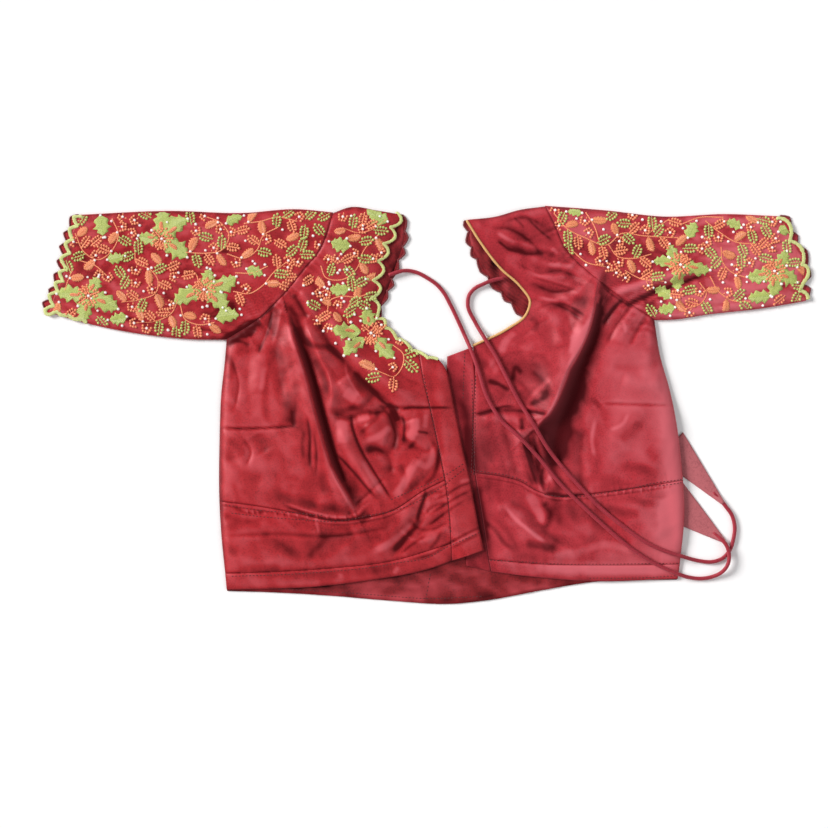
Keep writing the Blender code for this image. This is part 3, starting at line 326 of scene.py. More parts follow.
# Painted shade and painted highlight on the silk: tone, width, sharpness and path as for the folds; a negative
# tone is painted highlight
rightPaintedShading = [
    (1.4, 3.8, 4, -125, 57, -118, 41, -112, 22, -107, 4, -103, -12, -98, -30, -94, -44, -90, -58, -84, -71),
    (0.35, 6, 3, -87, -54, -81, -66, -74, -80, -69, -92),
    (0.32, (8, 5), 2.5, -144, 98, -137, 82, -130, 68, -125, 56), (0.34, 6, 3, -151, 98, -150, 84, -148, 64),
    (0.36, 9, 3, -148, 94, -144, 70, -137, 40, -130, 4, -119, -34, -106, -64),
    (0.9, 5, 2.5, -197, 58, -184, 66, -172, 73, -160, 82), (1, 9, 3, -208, 96, -196, 92, -184, 94),
    (0.35, 14, 5, -142, -132, -112, -138, -70, -118, -18, -122),
    (0.45, 5, 3, -152, -166, -100, -164, -50, -158, -22, -150), (0.3, 8, 3, -134, 50, -132, 10, -142, -30),
    (0.35, 5, 3, -112, -10, -104, -58, -97, -92), (-0.22, 4, 2.5, -196, -155, -143, -153, -91, -150, -45, -146),
    (0.45, 6, 2.5, -112, 48, -104, 36, -98, 24, -101, 8),
    (0.75, 3.2, 2.5, -122, 66, -112, 58, -98, 56, -84, 46), (0.65, 6.5, 3, -74, 33, -67, 23, -58, 14, -50, 6),
    (0.9, 1.5, 2, -60, 22, -50, 9, -42, 2, -34, -1, -28, -5), (1, 4.5, 3, -36, -1, -34, -9, -30, -16),
    (0.9, 1.6, 2, -27, -9, -24, -16, -24, -26, -25, -36),
    (0.65, 3.5, 2.5, -36, -16, -31, -24, -30, -36, -32, -44),
    (0.55, 2.6, 2.5, -66, -27, -58, -18, -50, -10, -50, -5),
    (0.5, 4.5, 2.5, -66, -44, -56, -42, -44, -43, -34, -42), (0.75, 1.4, 2, -12, -25, -5, -26, 0, -27),
    (0.6, 2.2, 2, -12, -28, -15, -36, -20, -42),
    (0.65, 2.4, 2.5, 1, -31, 6, -40, 9, -52, 7, -62, 2, -71, -6, -77),
    (0.4, 3.5, 2.5, -4, -66, -12, -73, -20, -79), (0.7, 3.6, 3, -95, -4, -86, -6, -74, -3, -62, -1),
    (0.8, 1.3, 2, -75, -10, -75, -18, -71, -30, -65, -44, -56, -59, -46, -75, -37, -89),
    (0.85, 1.5, 2, -90, -46, -80, -56, -70, -67, -60, -79, -51, -89),
    (0.3, 6, 2.5, -46, -58, -38, -68, -32, -80), (0.9, 1.3, 2, -27, -5, -20, -2, -8, -2, 6, -2, 22, -2),
    (0.95, 2, 2.5, -3, -81, -5, -90, -9, -101, -12, -111),
    (0.95, 3.2, 2.5, -6, -108, -14, -118, -24, -129, -36, -142),
    (0.6, 1.4, 2, 42, -74, 30, -78, 18, -85, 6, -91), (0.6, 1.4, 2, 40, -82, 26, -89, 12, -98, 2, -104),
    (0.5, 1.4, 2, 34, -92, 22, -99, 10, -108, 0, -116), (0.6, 1.8, 2, 12, -121, 8, -130, 0, -139),
    (0.65, 1.4, 2, 49, -118, 34, -125, 18, -134, 4, -143, -18, -149),
    (0.55, 1.3, 2, 48, -124, 34, -131, 20, -138), (0.5, 1.4, 2, -4, -126, -16, -134, -26, -142),
    (0.24, 6, 2.5, -162, -124, -146, -136, -128, -143),
    (0.28, 4, 2.5, -118, -149, -109, -138, -103, -128, -104, -119),
    (0.3, 5, 2.5, -196, -118, -176, -115, -160, -117), (0.2, 5, 2.5, -194, -138, -184, -142),
    (0.2, (4, 5), 2.5, -184, -158, -164, -156, -140, -158), (0.35, 4, 2.5, -194, -32, -184, -40, -179, -50),
    (0.3, (6, 5), 2.5, -165, -30, -158, -38, -150, -50), (0.22, 1.8, 2, -128, 6, -129, -8, -130, -21),
    (0.45, 1.5, 2, -117, -10, -114, -24, -115, -44, -112, -66), (0.4, 2, 2, -120, -24, -122, -38, -121, -52),
    (0.45, 1, 2, -201, -22, -168, -22, -129, -20),
    (0.45, (4, 6), 2.5, -144, -90, -124, -95, -106, -98, -80, -99),
    (1.3, (4.4, 4), 3, -200, 62, -188, 69, -176, 76, -166, 82), (0.7, 1.3, 2, -164, 83, -156, 90, -148, 99),
    (0.55, 1.6, 2, -152, 88, -154, 74, -160, 60, -166, 48), (0.55, 3, 2.5, -190, 66, -180, 68, -168, 70),
    (0.4, 4, 2.5, -196, 52, -190, 40, -194, 24), (0.35, 5, 2.5, -172, 76, -178, 60, -184, 46),
    (0.35, 4, 2.5, -152, 50, -157, 34, -158, 10, -158, -14), (0.3, 5, 2.5, -138, 6, -134, -6, -134, -18),
    (0.5, 3, 2.5, -136, 98, -128, 86, -124, 74, -122, 62),
    (0.85, 1.5, 2, -140, -97, -112, -106, -94, -110, -78, -110, -68, -108, -60, -100),
    (0.45, 2.6, 2.5, -178, 156, -206, 147, -232, 140), (0.4, 2, 2.5, -168, 136, -190, 146, -206, 152),
    (0.4, 3, 2.5, -306, 89, -270, 78, -240, 72), (0.45, 2.4, 2.5, -238, 108, -210, 98, -180, 84),
    (0.35, 2.4, 2.5, -226, 92, -204, 84, -184, 74), (0.3, 9, 3, -300, 178, -284, 176, -268, 170),
    (0.26, 22, 3, -352, 170, -350, 130, -344, 100), (0.3, 4, 2.5, -322, 128, -300, 134, -276, 128),
    (0.35, 5, 2.5, -150, 176, -128, 168, -112, 156), (-0.35, (10, 9), 3, -232, 166, -206, 162, -178, 168),
    (-0.3, (9, 8), 3, -196, 134, -172, 126, -152, 132), (-0.3, 8, 3, -310, 112, -284, 116, -262, 112),
    (-0.75, 2.6, 2.5, -134, 78, -133, 66, -128, 52), (-0.5, 5, 3, -122, 38, -130, 32, -136, 22, -135, 10),
    (-0.55, 2.6, 2.5, -158, 38, -160, 26, -162, 14),
    (-0.22, (26, 22), 3, -176, 50, -166, 10, -160, -40, -158, -70),
    (-0.75, 1.6, 2.5, -94, -60, -89, -71, -82, -84, -76, -96), (-0.85, 5.5, 4, -84, -13, -84, -24, -83, -37),
    (-0.85, 3.5, 3, -70, -12, -63, -11, -57, -10), (-0.6, 3, 3, -64, -52, -56, -66, -45, -84),
    (-0.9, 6, 4, -81, 14, -76, 10, -70, 6), (-0.5, 1.2, 2, -81, 42, -79, 30, -74, 20, -66, 8),
    (-0.7, 3, 3, -62, -34, -52, -31, -44, -26, -36, -20), (-0.85, 4.5, 4, -14, -12, -14, -22, -18, -34),
    (-0.55, 2.5, 3, -3, -8, -3, -14, -4, -22), (-0.8, 4.2, 3.5, -34, -88, -25, -78, -20, -66, -14, -56),
    (-0.65, 3.5, 3, -14, -54, -2, -58, 4, -48, 3, -36),
    (-0.7, 3.6, 3, -14, -113, -26, -124, -40, -134, -56, -142), (-0.5, 2.4, 2.5, 0, -92, -5, -104),
    (-0.5, 1.6, 2.5, -110, -106, -108, -116, -106, -124),
    (-0.55, 1.2, 2, -140, -94, -112, -103, -94, -107, -78, -107, -69, -104, -64, -98, -56, -94),
    (-0.35, 5, 3, -194, -170, -150, -171, -104, -168, -60, -163), (-0.4, 2, 2.5, -86, -162, -85, -167),
    (-0.5, 2, 2.5, -30, -156, -34, -163), (-0.4, 2, 2.5, 42, -72, 36, -72, 30, -74),
    (-0.35, 1.5, 2.5, 48, -121, 34, -128, 20, -136),
]
leftPaintedShading = [
    (1.35, (8, 2), 2.4, 163, 100, 161, 88, 157, 72, 151, 58, 144, 44, 137, 31),
    (1.35, (15, 2.6), 2.4, 143, 40, 137, 26, 131, 12, 125, 0, 117, -11, 106, -20),
    (1, (24, 5), 2.4, 116, -10, 110, -26, 108, -44, 108, -60),
    (0.45, (9, 12), 2.5, 150, 30, 144, -4, 138, -30, 132, -56), (0.3, (6, 8), 3, 158, 124, 155, 104, 151, 88),
    (0.35, (8, 10), 3, 131, -12, 129, -34, 127, -54),
    (-0.55, (10, 16), 3, 212, 62, 227, 10, 237, -40, 242, -90, 242, -166),
    (-0.45, 9, 3, 156, -151, 190, -153, 236, -152), (-0.6, 13, 4, 236, 93, 288, 99, 328, 108),
    (-0.55, 11, 4, 236, 181, 300, 183, 342, 176), (0.32, 24, 6, 60, 42, 98, 22, 112, 4),
    (0.32, 14, 4, 46, -12, 60, -60, 74, -96), (0.45, 7, 3, 147, 108, 145, 88, 143, 70),
    (0.3, 9, 3, 206, -8, 192, -20, 180, -34), (0.45, 6, 3, 124, -68, 121, -116),
    (0.22, 9, 3, 52, 24, 56, -30, 62, -100), (0.8, 4, 2.5, 89, -33, 92, -48, 96, -62, 102, -78),
    (0.35, 6, 3, 113, 14, 109, 2, 104, -10), (0.2, 12, 3, 168, -84, 194, -78, 214, -62),
    (-0.45, (20, 18), 3, 218, -90, 222, -122, 218, -150), (0.25, 8, 3, 64, -136, 96, -142, 128, -140),
    (0.42, 11, 3, 128, -92, 134, -108, 130, -120), (0.3, 8, 3, 104, 48, 110, 30, 112, 4),
    (-0.62, (30, 19), 3, 236, 60, 243, -10, 244, -80, 238, -158),
    (-0.6, 6, 2.5, 100, -156, 170, -158, 236, -158), (0.6, 1.2, 2, 168, 114, 184, 102, 198, 94),
    (0.6, 1.3, 2, 186, 103, 176, 92, 168, 80), (0.8, 2, 2.5, 206, 106, 212, 96, 214, 88),
    (0.65, 1.5, 2, 198, 98, 204, 104, 212, 106), (0.4, 5, 3, 172, 108, 176, 94, 168, 84),
    (0.45, 4, 2.5, 70, 176, 84, 168, 96, 160, 104, 158), (0.5, 1.3, 2, 96, 180, 108, 168, 118, 160),
    (0.45, 1.3, 2, 82, 182, 92, 172), (0.4, 3, 2.5, 80, 152, 96, 148, 112, 148, 124, 144),
    (0.5, 1.3, 2, 66, 160, 76, 152, 90, 148), (0.35, 4, 2.5, 96, 118, 112, 114, 132, 112, 146, 120),
    (0.45, 1.3, 2, 100, 124, 120, 118, 140, 112), (0.35, 3, 2.5, 112, 92, 128, 96, 146, 88),
    (0.45, 1.3, 2, 118, 100, 130, 98, 150, 86), (0.35, 3, 2.5, 98, 86, 104, 78, 100, 70),
    (0.75, 2.4, 2.5, 56, 24, 68, 20, 78, 14), (0.55, 3, 2.5, 90, 30, 84, 36, 80, 22),
    (0.85, 1.5, 2, 44, -8, 52, -8, 62, -4, 72, -1, 82, -1), (0.75, 1.4, 2, 92, -4, 102, -6, 112, -8),
    (0.45, 2.6, 2.5, 114, 16, 110, 8, 102, 3, 94, 1), (0.3, 4, 2.5, 112, -6, 106, -13, 99, -18),
    (0.35, 4, 2.5, 56, 36, 50, 46, 46, 52), (0.8, 2.5, 2.5, 88, -12, 90, -24),
    (0.95, 2.6, 2.5, 92, -34, 96, -48, 100, -62, 106, -78), (0.6, 2.2, 2.5, 100, -28, 104, -46, 106, -64),
    (0.7, 1.3, 2, 110, -60, 108, -74, 112, -84), (0.75, (4, 4.5), 2.5, 110, -92, 115, -104, 113, -120),
    (0.7, 4.5, 3, 92, -133, 108, -135, 124, -140), (0.5, 2.5, 2.5, 52, -112, 64, -120, 72, -132, 82, -140),
    (0.45, (4, 5), 2.5, 168, -98, 184, -102, 204, -104), (0.45, 5, 2.5, 150, -100, 160, -112, 172, -122),
    (0.35, (3, 4), 2.5, 190, -88, 210, -94, 226, -96), (0.9, 1.6, 2, 112, -84, 130, -87, 150, -86),
    (0.55, 6, 2.5, 34, 40, 36, 0, 40, -40, 44, -70), (0.8, 5, 2.5, 46, -76, 50, -104, 56, -134),
    (0.35, (5, 6), 2.5, 212, 60, 218, 40, 222, 20), (0.35, 6, 2.5, 204, -16, 196, -24, 184, -34),
    (0.35, (4, 5), 2.5, 184, -58, 204, -60, 222, -66), (0.25, 7, 2.5, 210, -40, 222, -50),
    (0.85, (2.6, 2.4), 2.2, 188, 96, 204, 104, 222, 111, 243, 118, 266, 126),
    (0.3, 14, 3, 172, 152, 206, 144, 240, 140), (0.55, 2, 2.2, 270, 95, 292, 99, 316, 109, 352, 117),
    (0.45, 2, 2.2, 318, 124, 338, 128, 362, 126), (0.15, 4, 2.5, 226, 176, 250, 172, 280, 168),
    (0.05, (12, 10), 3, 272, 166, 300, 160, 320, 150), (0.35, 3, 2.5, 150, 178, 162, 164, 170, 150),
    (-0.75, (4, 3.6), 3, 176, 110, 196, 114, 220, 121, 244, 127),
    (-0.75, (32, 28), 3, 268, 126, 310, 134, 366, 142), (-0.4, 5, 3, 262, 140, 290, 147, 322, 148),
    (-0.4, 5, 3, 222, 98, 250, 104, 276, 106), (-0.45, (14, 12), 3, 126, 168, 150, 172, 176, 178),
    (-0.4, (14, 12), 3, 340, 176, 352, 150, 362, 120), (-0.85, 3.5, 3, 156, 84, 147, 64, 141, 48, 134, 36),
    (-0.75, 5, 3.5, 147, 80, 141, 64, 138, 48), (-0.85, 1.5, 2, 134, 34, 127, 18, 119, 0, 111, -12, 102, -19),
    (-0.8, 1.8, 2.5, 164, 108, 162, 98), (-0.35, 2.2, 3, 117, 27, 108, 18, 100, 10, 94, -1),
    (-0.6, 4, 3, 84, 72, 74, 62, 70, 50), (-0.35, 6, 3, 70, 46, 62, 36, 56, 28),
    (-0.5, 2.2, 2.5, 114, 136, 124, 136, 140, 134), (-0.45, 2.2, 2.5, 66, 168, 76, 160, 84, 156),
    (-0.45, 2, 2.5, 118, 152, 124, 146), (-0.4, 2, 2.5, 104, 104, 118, 102, 126, 99),
    (-0.4, 2.5, 2.5, 92, 108, 98, 98), (-0.46, 22, 3, 192, 60, 192, 20, 194, -20, 196, -60),
    (0.3, (24, 22), 3, 58, 178, 84, 166, 112, 156, 130, 146), (-0.4, 1.6, 2.5, 188, 80, 190, 70),
    (-0.5, 2, 2.5, 160, -14, 157, -34, 160, -50), (-0.4, 2, 2.5, 192, -8, 186, -18, 174, -24),
    (-0.45, 2.6, 2.5, 112, -74, 118, -68), (-0.7, 1.8, 2.5, 74, -98, 82, -108, 96, -120, 112, -132),
    (-0.55, 5.5, 3.5, 96, -84, 102, -94, 108, -108, 106, -116), (-0.6, 8, 3, 226, -88, 228, -104, 232, -126),
    (-0.4, 4, 3, 150, -138, 170, -134, 196, -140), (-0.35, 5, 3, 120, -146, 150, -142),
    (-0.35, 6, 3, 80, -158, 130, -160, 180, -160, 236, -160),
]
paintedShadingRows = {"right": rightPaintedShading, "left": leftPaintedShading}

beltPuckerShading = {"right": ((-176, -101), (-64, -108), 7.4), "left": ((170, -84), (238, -75), 8.2)}


def puckerShadingRows(side):
    # Short strokes of painted highlight, each with one of painted shade beside it, between the two rows of
    # stitches where the belt puckers
    (x0, y0), (x1, y1), pitch = beltPuckerShading[side]
    rng = random.Random(side)
    rows, at = [], x0
    while at < x1:
        y = y0 + (y1 - y0) * (at - x0) / (x1 - x0)
        tall = rng.uniform(2.6, 4.2)
        rows.append((-rng.uniform(0.35, 0.75), 0.9, 2, at, y, at + 0.8, y - tall))
        rows.append((rng.uniform(0.3, 0.6), 0.8, 2, at + 1.7, y, at + 2.4, y - tall))
        at += pitch * rng.uniform(0.6, 1.4)
    return rows


def foldHeight(row, x, y):
    height, widths, sharpness = row[:3]
    left, right = np.broadcast_to(widths, 2)
    run = np.array(row[3:], float).reshape(-1, 2)
    if len(run) > 2:
        run = smoothPath(run, 4 * len(run))
    reach = max(left, right) * (9 ** (1 / sharpness)) + 1
    low, high = run.min(axis=0) - reach, run.max(axis=0) + reach
    near = (x > low[0]) & (x < high[0]) & (y > low[1]) & (y < high[1])
    away, along, hand = nearestOn(run, x[near], y[near])
    share = along / lengthOf(run)
    # Past its ends a fold dies away with distance
    taper = eased(share / 0.24 + 0.3) * eased((1 - share) / 0.24 + 0.3)
    width = np.where(hand > 0, left, right)
    total = np.zeros(x.shape)
    total[near] = height * taper * np.exp(-((away / width) ** sharpness))
    return total


def moundHeight(row, x, y):
    x0, y0, across, along, height = row
    return height * np.exp(-(((x - x0) / across) ** 2) - ((y - y0) / along) ** 2)


def tasselLift(x, y):
    # The left half and the back lie over the ends of the tassels
    rise = eased((x - 162) / 40) * eased((y + 162) / 40) * eased((22 - y) / 40)
    return cloth["tasselLift"] * rise


def sidePlan(side):
    e = edges[side]
    return {
        "folded": [smoothPath(e["sleeveTop"], 12), smoothPath(e["shoulder"], 6),
                   smoothPath(e["sleeveUnder"], 10),
                   chain((e["side"], 8), (e["bandSide"], 4), (e["hemSide"], 1))],
        "free": [smoothPath(e["neckline"], 14), smoothPath(rightEdges["centre"], 10),
                 smoothPath(e["hemEdge"], 8), smoothPath(e["cuff"], 6)],
        "bandSeam": smoothPath(e["bandSeam"], 30),
        "hemSeam": smoothPath(e["hemSeam"], 14),
        "armhole": smoothPath(e["armhole"], 20),
        "placket": chain((e["placketSeam"], 10), (e["placketBand"], 6), (e["placketHem"], 1)),
        "hand": -1 if side == "right" else 1,
    }


plans = {side: sidePlan(side) for side in ("right", "left")}
centreRight = smoothPath(rightEdges["centre"], 24)
centreLeft = smoothPath(leftEdges["centre"], 24)

seamRelief = {
    "depth": {"bandSeam": 0.5, "armhole": 0.8, "placket": 0.28, "hemSeam": 0.7},
    "grooveWidth": 1.4,
    # Gathers: pitch, height and reach
    "bandGathers": (6.4, 0.42, 4.5),
    "armholeGathers": (9, 0.6, 16),
    "hemGathers": (9, 0.25, 8),
}


def gathers(distance, along, sizes, seed):
    # Puckers of uneven width, length and depth
    pitch, height, reach = sizes
    wander = creaseNoise(along / 17, along * 0 + seed, seed) * 5
    strength = 0.35 + 1.5 * creaseNoise(along / 13 + 7, along * 0 + 2.3, seed + 3)
    reachHere = reach * (1 + 1.1 * creaseNoise(along / 9 + 3, along * 0 + 5.1, seed + 7))
    wave = 1 - 2 * np.abs(np.sin(math.pi * along / pitch + wander)) ** 0.7
    return height * np.maximum(strength, 0) * wave * np.exp(-distance / np.maximum(reachHere, 1))


def seamShape(side, x, y):
    plan = plans[side]
    total = np.zeros(np.shape(x))
    for key, depth in seamRelief["depth"].items():
        away, along, hand = nearestOn(plan[key], x, y)
        hand = hand * plan["hand"]  # positive below a seam
        total -= depth * np.exp(-((away / seamRelief["grooveWidth"]) ** 2))
        if key == "bandSeam":
            # A raised strip under the seam, then the groove of its row of stitches
            strip, groove = (np.exp(-(((away - at) / width) ** 2)) for at, width in ((1.9, 1.2), (3.6, 1.1)))
            total += 0.5 * (strip - groove) * (hand > 0)
            total += gathers(away, along, seamRelief["bandGathers"], 4 if side == "right" else 8)
        if key == "armhole":
            total += gathers(away, along, seamRelief["armholeGathers"], 6)
        if key == "hemSeam":
            total += np.where(hand < 0, -0.9 * np.exp(-((away / 9) ** 2)) + 0.4, 0.7 * np.exp(-away / 4))
            total += gathers(away, along, seamRelief["hemGathers"], 11)
    return total


def upperHeight(side, x, y):
    # Top of the fronts and of the sleeves' upper layers, above the surface they lie on
    plan = plans[side]
    folded = 1 - np.exp(-distanceTo(plan["folded"], x, y) / cloth["foldRadius"])
    free = 1 - np.exp(-distanceTo(plan["free"], x, y) / cloth["freeRadius"])
    sleeve = eased((x * plan["hand"] - 150) / 60) * eased((y - 50) / 30)
    fullness = cloth["bodyFullness"] + (cloth["sleeveFullness"] - cloth["bodyFullness"]) * sleeve
    relief = sum(foldHeight(row, x, y) for row in foldRows[side])
    relief += sum(moundHeight(row, x, y) for row in moundRows[side])
    relief += crumple(x, y, 2 if side == "right" else 7) * (1 - 0.45 * sleeve)
    centre = np.ones(x.shape)
    if side == "left":
        centre = np.where(y > 60, 1, eased((x - acrossAt(centreRight, y) - 2) / 22))
    rise = (fullness * folded + relief * np.minimum(1, folded * 1.2)) * free * centre
    calm = np.minimum(1, 0.25 + free) * np.minimum(1, 0.3 + folded) * (0.25 + 0.75 * centre)
    rise += seamShape(side, x, y) * calm
    rise += creaseNoise(x / 13, y / 11, 21) * 0.25 * (1 - free * 0.6) * (0.3 + 0.7 * centre)
    height = cloth["rest"] + np.maximum(rise, -0.1) + tasselLift(x, y) * 1.08
    if side == "right":
        overlap = eased((x - acrossAt(centreLeft, y) + 17) / 13)
        height += cloth["overlapRise"] * overlap * eased((70 - y) / 12)
    return height


survey = {
    "step": 0.95,
    "right": {"low": (-380, -198), "high": (64, 206)},
    "left": {"low": (8, -186), "high": (380, 206)},
    # Valleys below their blurred surroundings get painted shade, ridges above them painted highlight
    "valleys": ((1.8, 0.45, 0.2), (5, 1.3, 0.22), (12, 2.6, 0.2)),  # reach, depth and share of each size
}


def blurred(grid, cells):
    reach = int(cells * 2.5)
    weights = np.exp(-((np.arange(-reach, reach + 1) / cells) ** 2) / 2)
    weights /= weights.sum()
    for _ in range(2):
        padded = np.pad(grid, [(reach, reach), (0, 0)], mode="edge")
        grid = sum(w * padded[k:k + grid.shape[0]] for k, w in enumerate(weights)).T
    return grid


for side in ("right", "left"):
    # Heights are worked out once on a fine square grid, and with them the painted shading: positive is painted
    # shade in valleys and creases, negative is painted highlight on ridges
    area = survey[side]
    gridX, gridY = np.meshgrid(*(np.arange(area["low"][k], area["high"][k], survey["step"]) for k in (0, 1)))
    area["height"] = upperHeight(side, gridX, gridY)
    paintedShading = np.zeros(gridX.shape)
    for reach, depth, share in survey["valleys"]:
        sunk = blurred(area["height"], reach / survey["step"]) - area["height"]
        paintedShading += share * np.clip(sunk / depth, -0.6, 1)
    # Listed strokes of painted shade and painted highlight, and those along the belt puckers
    paintedShading += sum(foldHeight(row, gridX, gridY) for row in paintedShadingRows[side] + puckerShadingRows(side))
    if side == "left":
        # The strip under the right placket lies in its shade
        paintedShading += 0.5 * np.exp(-((np.maximum(gridX - acrossAt(centreRight, gridY), 0) / 9) ** 2)) * (gridY < 62)
    # Painted shade and painted highlight along fine random creases, more on the sleeves and less towards +X
    bendX = gridX + 7 * creaseNoise(gridX / 26, gridY / 26, 61)
    bendY = gridY + 7 * creaseNoise(gridX / 26 + 5, gridY / 26, 67)
    smooth = 0.5 * eased((gridX - 150) / 30)
    onSleeve = eased((gridX * plans[side]["hand"] - 170) / 40) * eased((gridY - 60) / 20)
    for share, steep, u, v, seed in (
            (0.13 - 0.13 * smooth, 6, bendX / 22 + bendY / 30, bendY / 30 - bendX / 50, 71),
            (0.07 - 0.09 * smooth, 7, bendX / 11, bendY / 15 + bendX / 24, 73),
            (0.2 * onSleeve, 7, bendX / 9 + bendY / 13, bendY / 7 - bendX / 24, 79)):
        paintedShading += share * np.tanh(steep * creaseNoise(u, v, seed))
    paintedShading = np.clip(paintedShading, -1.1, 1.3)
    paintedShading += 0.5 * (paintedShading - blurred(paintedShading, 2.6 / survey["step"]))
    area["paintedShading"] = np.clip(paintedShading, -1, 1)


def surveyed(side, x, y, key="height"):
    area = survey[side]
    grid = area[key]
    u = np.clip((np.asarray(x) - area["low"][0]) / survey["step"], 0, grid.shape[1] - 1.001)
    v = np.clip((np.asarray(y) - area["low"][1]) / survey["step"], 0, grid.shape[0] - 1.001)
    i, j = np.floor(u).astype(int), np.floor(v).astype(int)
    u, v = u - i, v - j
    return ((grid[j, i] * (1 - u) + grid[j, i + 1] * u) * (1 - v)
            + (grid[j + 1, i] * (1 - u) + grid[j + 1, i + 1] * u) * v)


print("heights surveyed")


def unit(vectors):
    return vectors / np.maximum(np.linalg.norm(vectors, axis=-1), 1e-9)[..., None]


def patch(left, right, top, bottom):
    # Plane grid between four edges that share their corners; rows run down
    u = np.linspace(0, 1, len(top))[None, :, None]
    v = np.linspace(0, 1, len(left))[:, None, None]
    corners = ((1 - u) * (1 - v) * left[0] + u * (1 - v) * right[0]
               + (1 - u) * v * left[-1] + u * v * right[-1])
    grid = (1 - u) * left[:, None] + u * right[:, None] + (1 - v) * top[None] + v * bottom[None] - corners
    # Pieces stand a little apart at their seams
    for edge, inner in ((0, 1), (-1, -2)):
        for cells in (grid, grid.swapaxes(0, 1)):
            cells[edge] += unit(cells[inner] - cells[edge]) * (cloth["seamGap"] / 2)
    return grid


def raised(plane, height):
    return np.concatenate([plane, np.asarray(height)[..., None]], axis=-1)


def placed(points):
    return (np.array(points, float) - (tableOrigin["x"], tableOrigin["y"], 0)) * 0.001


def added(name, data):
    obj = bpy.data.objects.new(name, data)
    bpy.context.scene.collection.objects.link(obj)
    return obj


def newMesh(name, verts, faces, material, uvs=None):
    mesh = bpy.data.meshes.new(name)
    mesh.from_pydata([tuple(v) for v in placed(verts)], [], faces)
    if uvs is not None:
        layer = mesh.uv_layers.new(name="stitchMap")
        loops = np.empty(len(mesh.loops), np.int32)
        mesh.loops.foreach_get("vertex_index", loops)
        layer.data.foreach_set("uv", np.asarray(uvs, np.float32)[loops].ravel())
    work = bmesh.new()
    work.from_mesh(mesh)
    bmesh.ops.recalc_face_normals(work, faces=work.faces)
    work.to_mesh(mesh)
    work.free()
    mesh.shade_smooth()
    mesh.materials.append(material)
    return added(name, mesh)


def ridden(obj, node=None):
    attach(obj, "root")
    if node:
        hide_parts(node)
    return obj


def wallFaces(rows, columns, wrap=False):
    # Quads of an outer and an inner grid of the same size, and of the rims between them
    inner = rows * columns
    lastColumn = columns if wrap else columns - 1
    faces = []
    for r in range(rows - 1):
        for c in range(lastColumn):
            d = (c + 1) % columns
            quad = (r * columns + c, r * columns + d, (r + 1) * columns + d, (r + 1) * columns + c)
            faces += [quad, tuple(inner + k for k in reversed(quad))]
    rims = []
    for c in range(lastColumn):
        d = (c + 1) % columns
        rims += [(d, c), (inner - columns + c, inner - columns + d)]
    if not wrap:
        for a in range(0, inner - columns, columns):
            rims += [(a, a + columns), (a + 2 * columns - 1, a + columns - 1)]
    return faces + [(a, b, inner + b, inner + a) for a, b in rims]


def wall(name, outer, inner, material, wrap=False, uvs=None):
    points = np.concatenate([outer.reshape(-1, 3), inner.reshape(-1, 3)])
    return newMesh(name, points, wallFaces(*outer.shape[:2], wrap), material, uvs)


# Painted shade given to rims and inner faces
plainPaintedShade = 0.35  # of rims and inner faces


def shaded(obj, paintedShading):
    # The outer grid comes first in every wall and takes the painted shading; the rest keeps the plain painted
    # shade
    values = np.full(len(obj.data.vertices), plainPaintedShade, np.float32)
    values[: paintedShading.size] = paintedShading.ravel()
    obj.data.attributes.new("paintedShading", "FLOAT", "POINT").data.foreach_set("value", values)
    return obj


def thicknessOn(side, x, y):
    step = 0.8
    slopeX = (surveyed(side, x + step, y) - surveyed(side, x - step, y)) / (2 * step)
    slopeY = (surveyed(side, x, y + step) - surveyed(side, x, y - step)) / (2 * step)
    return cloth["thin"] * np.minimum(np.sqrt(1 + slopeX**2 + slopeY**2), 1.5)


def feed(tree, node, inputs):
    # Each input takes a plain value or the output of another node
    for slot, value in inputs.items():
        if isinstance(value, bpy.types.NodeSocket):
            tree.links.new(value, node.inputs[slot])
        else:
            node.inputs[slot].default_value = value


def addNode(tree, kind, inputs={}, **settings):
    node = tree.nodes.new(kind)
    for key, value in settings.items():
        setattr(node, key, value)
    feed(tree, node, inputs)
    return node.outputs


def newTree(name, kind, inputs, outputs):
    # An empty node tree with named inputs and outputs
    tree = bpy.data.node_groups.new(name, kind)
    for direction, rows in (("INPUT", inputs), ("OUTPUT", outputs)):
        for label, socket in rows.items():
            tree.interface.new_socket(name=label, in_out=direction, socket_type="NodeSocket" + socket)
    return tree, tree.nodes.new("NodeGroupInput").outputs, tree.nodes.new("NodeGroupOutput")


def scaled(tree, value, factor, plus=0, clamp=False):
    # value * factor + plus
    return addNode(tree, "ShaderNodeMath", {0: value, 1: factor, 2: plus}, operation="MULTIPLY_ADD",
                   use_clamp=clamp)[0]


def mathNode(tree, kind, value):
    return addNode(tree, "ShaderNodeMath", {0: value}, operation=kind)[0]


def mixColour(tree, factor, first, second):
    return addNode(tree, "ShaderNodeMix", {0: factor, 6: first, 7: second}, data_type="RGBA")[2]


def stretchedNoise(tree, scale, detail, bent=0):
    coords = addNode(tree, "ShaderNodeTexCoord")["Object"]
    spread = addNode(tree, "ShaderNodeMapping", {"Vector": coords, "Scale": scale})["Vector"]
    noise = {"Vector": spread, "Scale": 1, "Detail": detail, "Roughness": 0.6, "Distortion": bent}
    return addNode(tree, "ShaderNodeTexNoise", noise)["Fac"]


